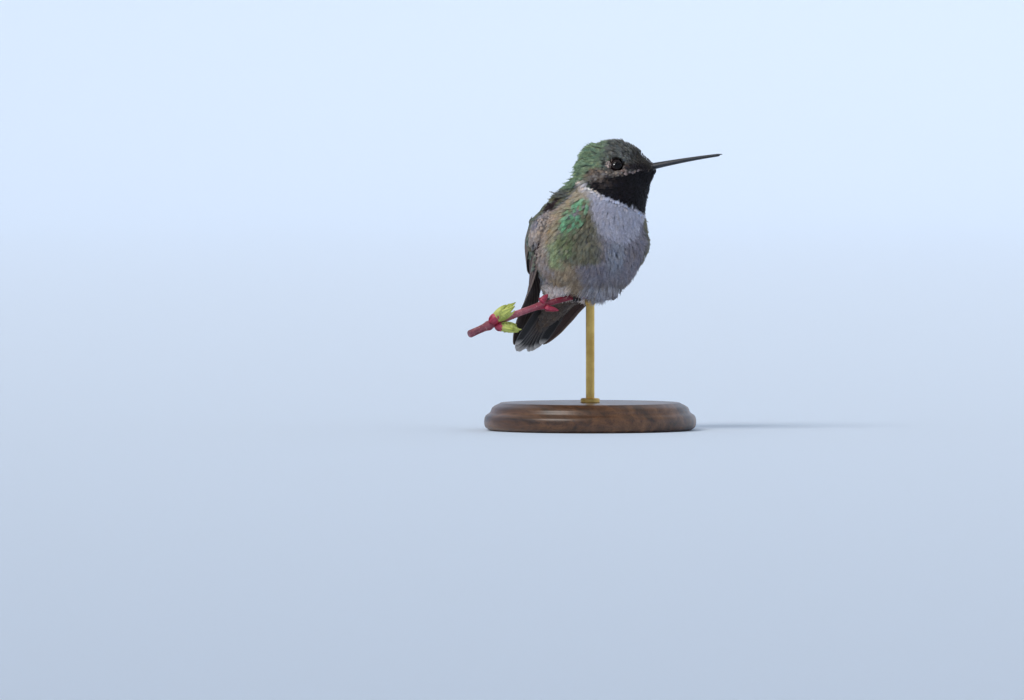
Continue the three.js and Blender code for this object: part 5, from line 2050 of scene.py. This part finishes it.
@dataclass
class Studio:
    """A plain pale sweep all round, soft lights, and the camera."""

    flat: float = 3.3
    wall: float = 4.5
    azimuth: float = 55.0
    elevation: float = 1.5
    distance: float = 3.0
    lens: float = 414.3
    aim: tuple[float, float] = (-19.9, 20.4)  # to the camera's right of the origin, and above the floor

    def sweep(self) -> None:
        """Makes the floor, which runs up into a wall on every side."""
        bend = self.wall - self.flat
        edge = [(self.flat + bend * math.sin(a), bend * (1 - math.cos(a)))
                for a in np.linspace(0.1, math.pi / 2, 14)]
        bm = turned([(0.0, 0.0), (self.flat, 0.0), *edge, (self.wall, 3.2)], 96)
        if sum(f.normal.z for f in bm.faces) < 0:
            bmesh.ops.reverse_faces(bm, faces=bm.faces)
        mesh = bpy.data.meshes.new("sweep")
        bm.to_mesh(mesh)
        bm.free()
        mesh.shade_smooth()
        mesh.materials.append(PaperFinish().material())
        piece = self.put("sweep", mesh)

    def put(self, name: str, data: bpy.types.ID, at: Iterable[float] = (0, 0, 0),
            back: Iterable[float] = (0, 0, 1)) -> bpy.types.Object:
        """Adds the sweep, a lamp or the camera to the scene.

        Args:
            name: Its name.
            data: Its mesh, lamp or camera.
            at: Its place in metres.
            back: The way that its back faces.

        Returns:
            Its object.
        """
        thing = bpy.data.objects.new(name, data)
        thing.location = at
        if data.id_type != "MESH":
            thing.rotation_euler = Vector(back).to_track_quat("Z", "Y").to_euler()
        bpy.context.scene.collection.objects.link(thing)
        return thing

    def sun(self, name: str, towards: Array, power: float, colour: int, soft: float) -> None:
        """Adds even light from one side of the sky.

        Args:
            name: The lamp's name.
            towards: Which way the light comes from.
            power: Its strength, in watts for each square metre.
            colour: Its colour.
            soft: How many degrees of the sky it fills.
        """
        data = bpy.data.lights.new(name, "SUN")
        data.energy = power
        data.angle = math.radians(soft)
        data.color = linear(colour)[:3]
        self.put(name, data, back=towards)

    def glint(self, at: Array, balls: list[bpy.types.Object]) -> None:
        """Adds a small lamp that lights only the eyeballs, for the bright point in each."""
        data = bpy.data.lights.new("glint", "AREA")
        data.size = 0.36
        data.energy = 60
        eyes = bpy.data.collections.new("lit_by_glint")
        for ball in balls:
            eyes.objects.link(ball)
        self.put("glint", data, at, at).light_linking.receiver_collection = eyes

    def camera(self) -> None:
        """Sets the camera up at its place, aimed beside the bird as the view wants."""
        a, e = math.radians(self.azimuth), math.radians(self.elevation)
        right = Vector((math.cos(a), math.sin(a), 0))
        back = Vector((math.sin(a) * math.cos(e), -math.cos(a) * math.cos(e), math.sin(e)))
        target = right * self.aim[0] * MM + Vector((0, 0, self.aim[1] * MM))
        data = bpy.data.cameras.new("camera")
        data.lens = self.lens
        data.sensor_width = 36.0
        data.clip_start = 0.01
        data.clip_end = 50.0
        bpy.context.scene.camera = self.put("camera", data, target + back * self.distance, back)

    def make(self, balls: list[bpy.types.Object]) -> None:
        """Makes the studio, with its glint on the eyeballs."""
        scene = bpy.context.scene
        scene.view_settings.view_transform = "Standard"
        self.sweep()
        world = bpy.data.worlds.new("pale_room")
        world.use_nodes = True
        background = world.node_tree.nodes["Background"]
        background.inputs["Color"].default_value = linear(0xEDF0F6)
        background.inputs["Strength"].default_value = 0.55
        scene.world = world
        a = math.radians(self.azimuth)
        right, back = np.array([math.cos(a), math.sin(a), 0]), np.array([math.sin(a), -math.cos(a), 0])
        self.sun("key", -0.56 * right + 0.5 * back + 0.68 * UP, 1.9, 0xFFFBF6, 30)
        self.sun("fill", 0.8 * right + 0.5 * back + 0.3 * UP, 0.65, 0xEDF1FF, 60)
        self.glint(-1.2 * right + 0.84 * back + 0.29 * UP, balls)
        self.camera()


# ---- everything in order
def main() -> None:
    """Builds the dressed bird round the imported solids."""
    logging.basicConfig(level=logging.INFO, format="%(name)s: %(message)s")
    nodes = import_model()["nodes"]
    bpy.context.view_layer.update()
    flesh = Flesh(nodes)
    flesh.make_skin()
    Coat(flesh).make()
    for wing in WINGS.values():
        wing.make()
    TAIL.make()
    Bill().make()
    balls = Eye().make()
    twig = Twig()
    twig.make()
    Foot(twig).make()
    Stand().make()
    Studio().make(balls)


if __name__ == "__main__":
    main()
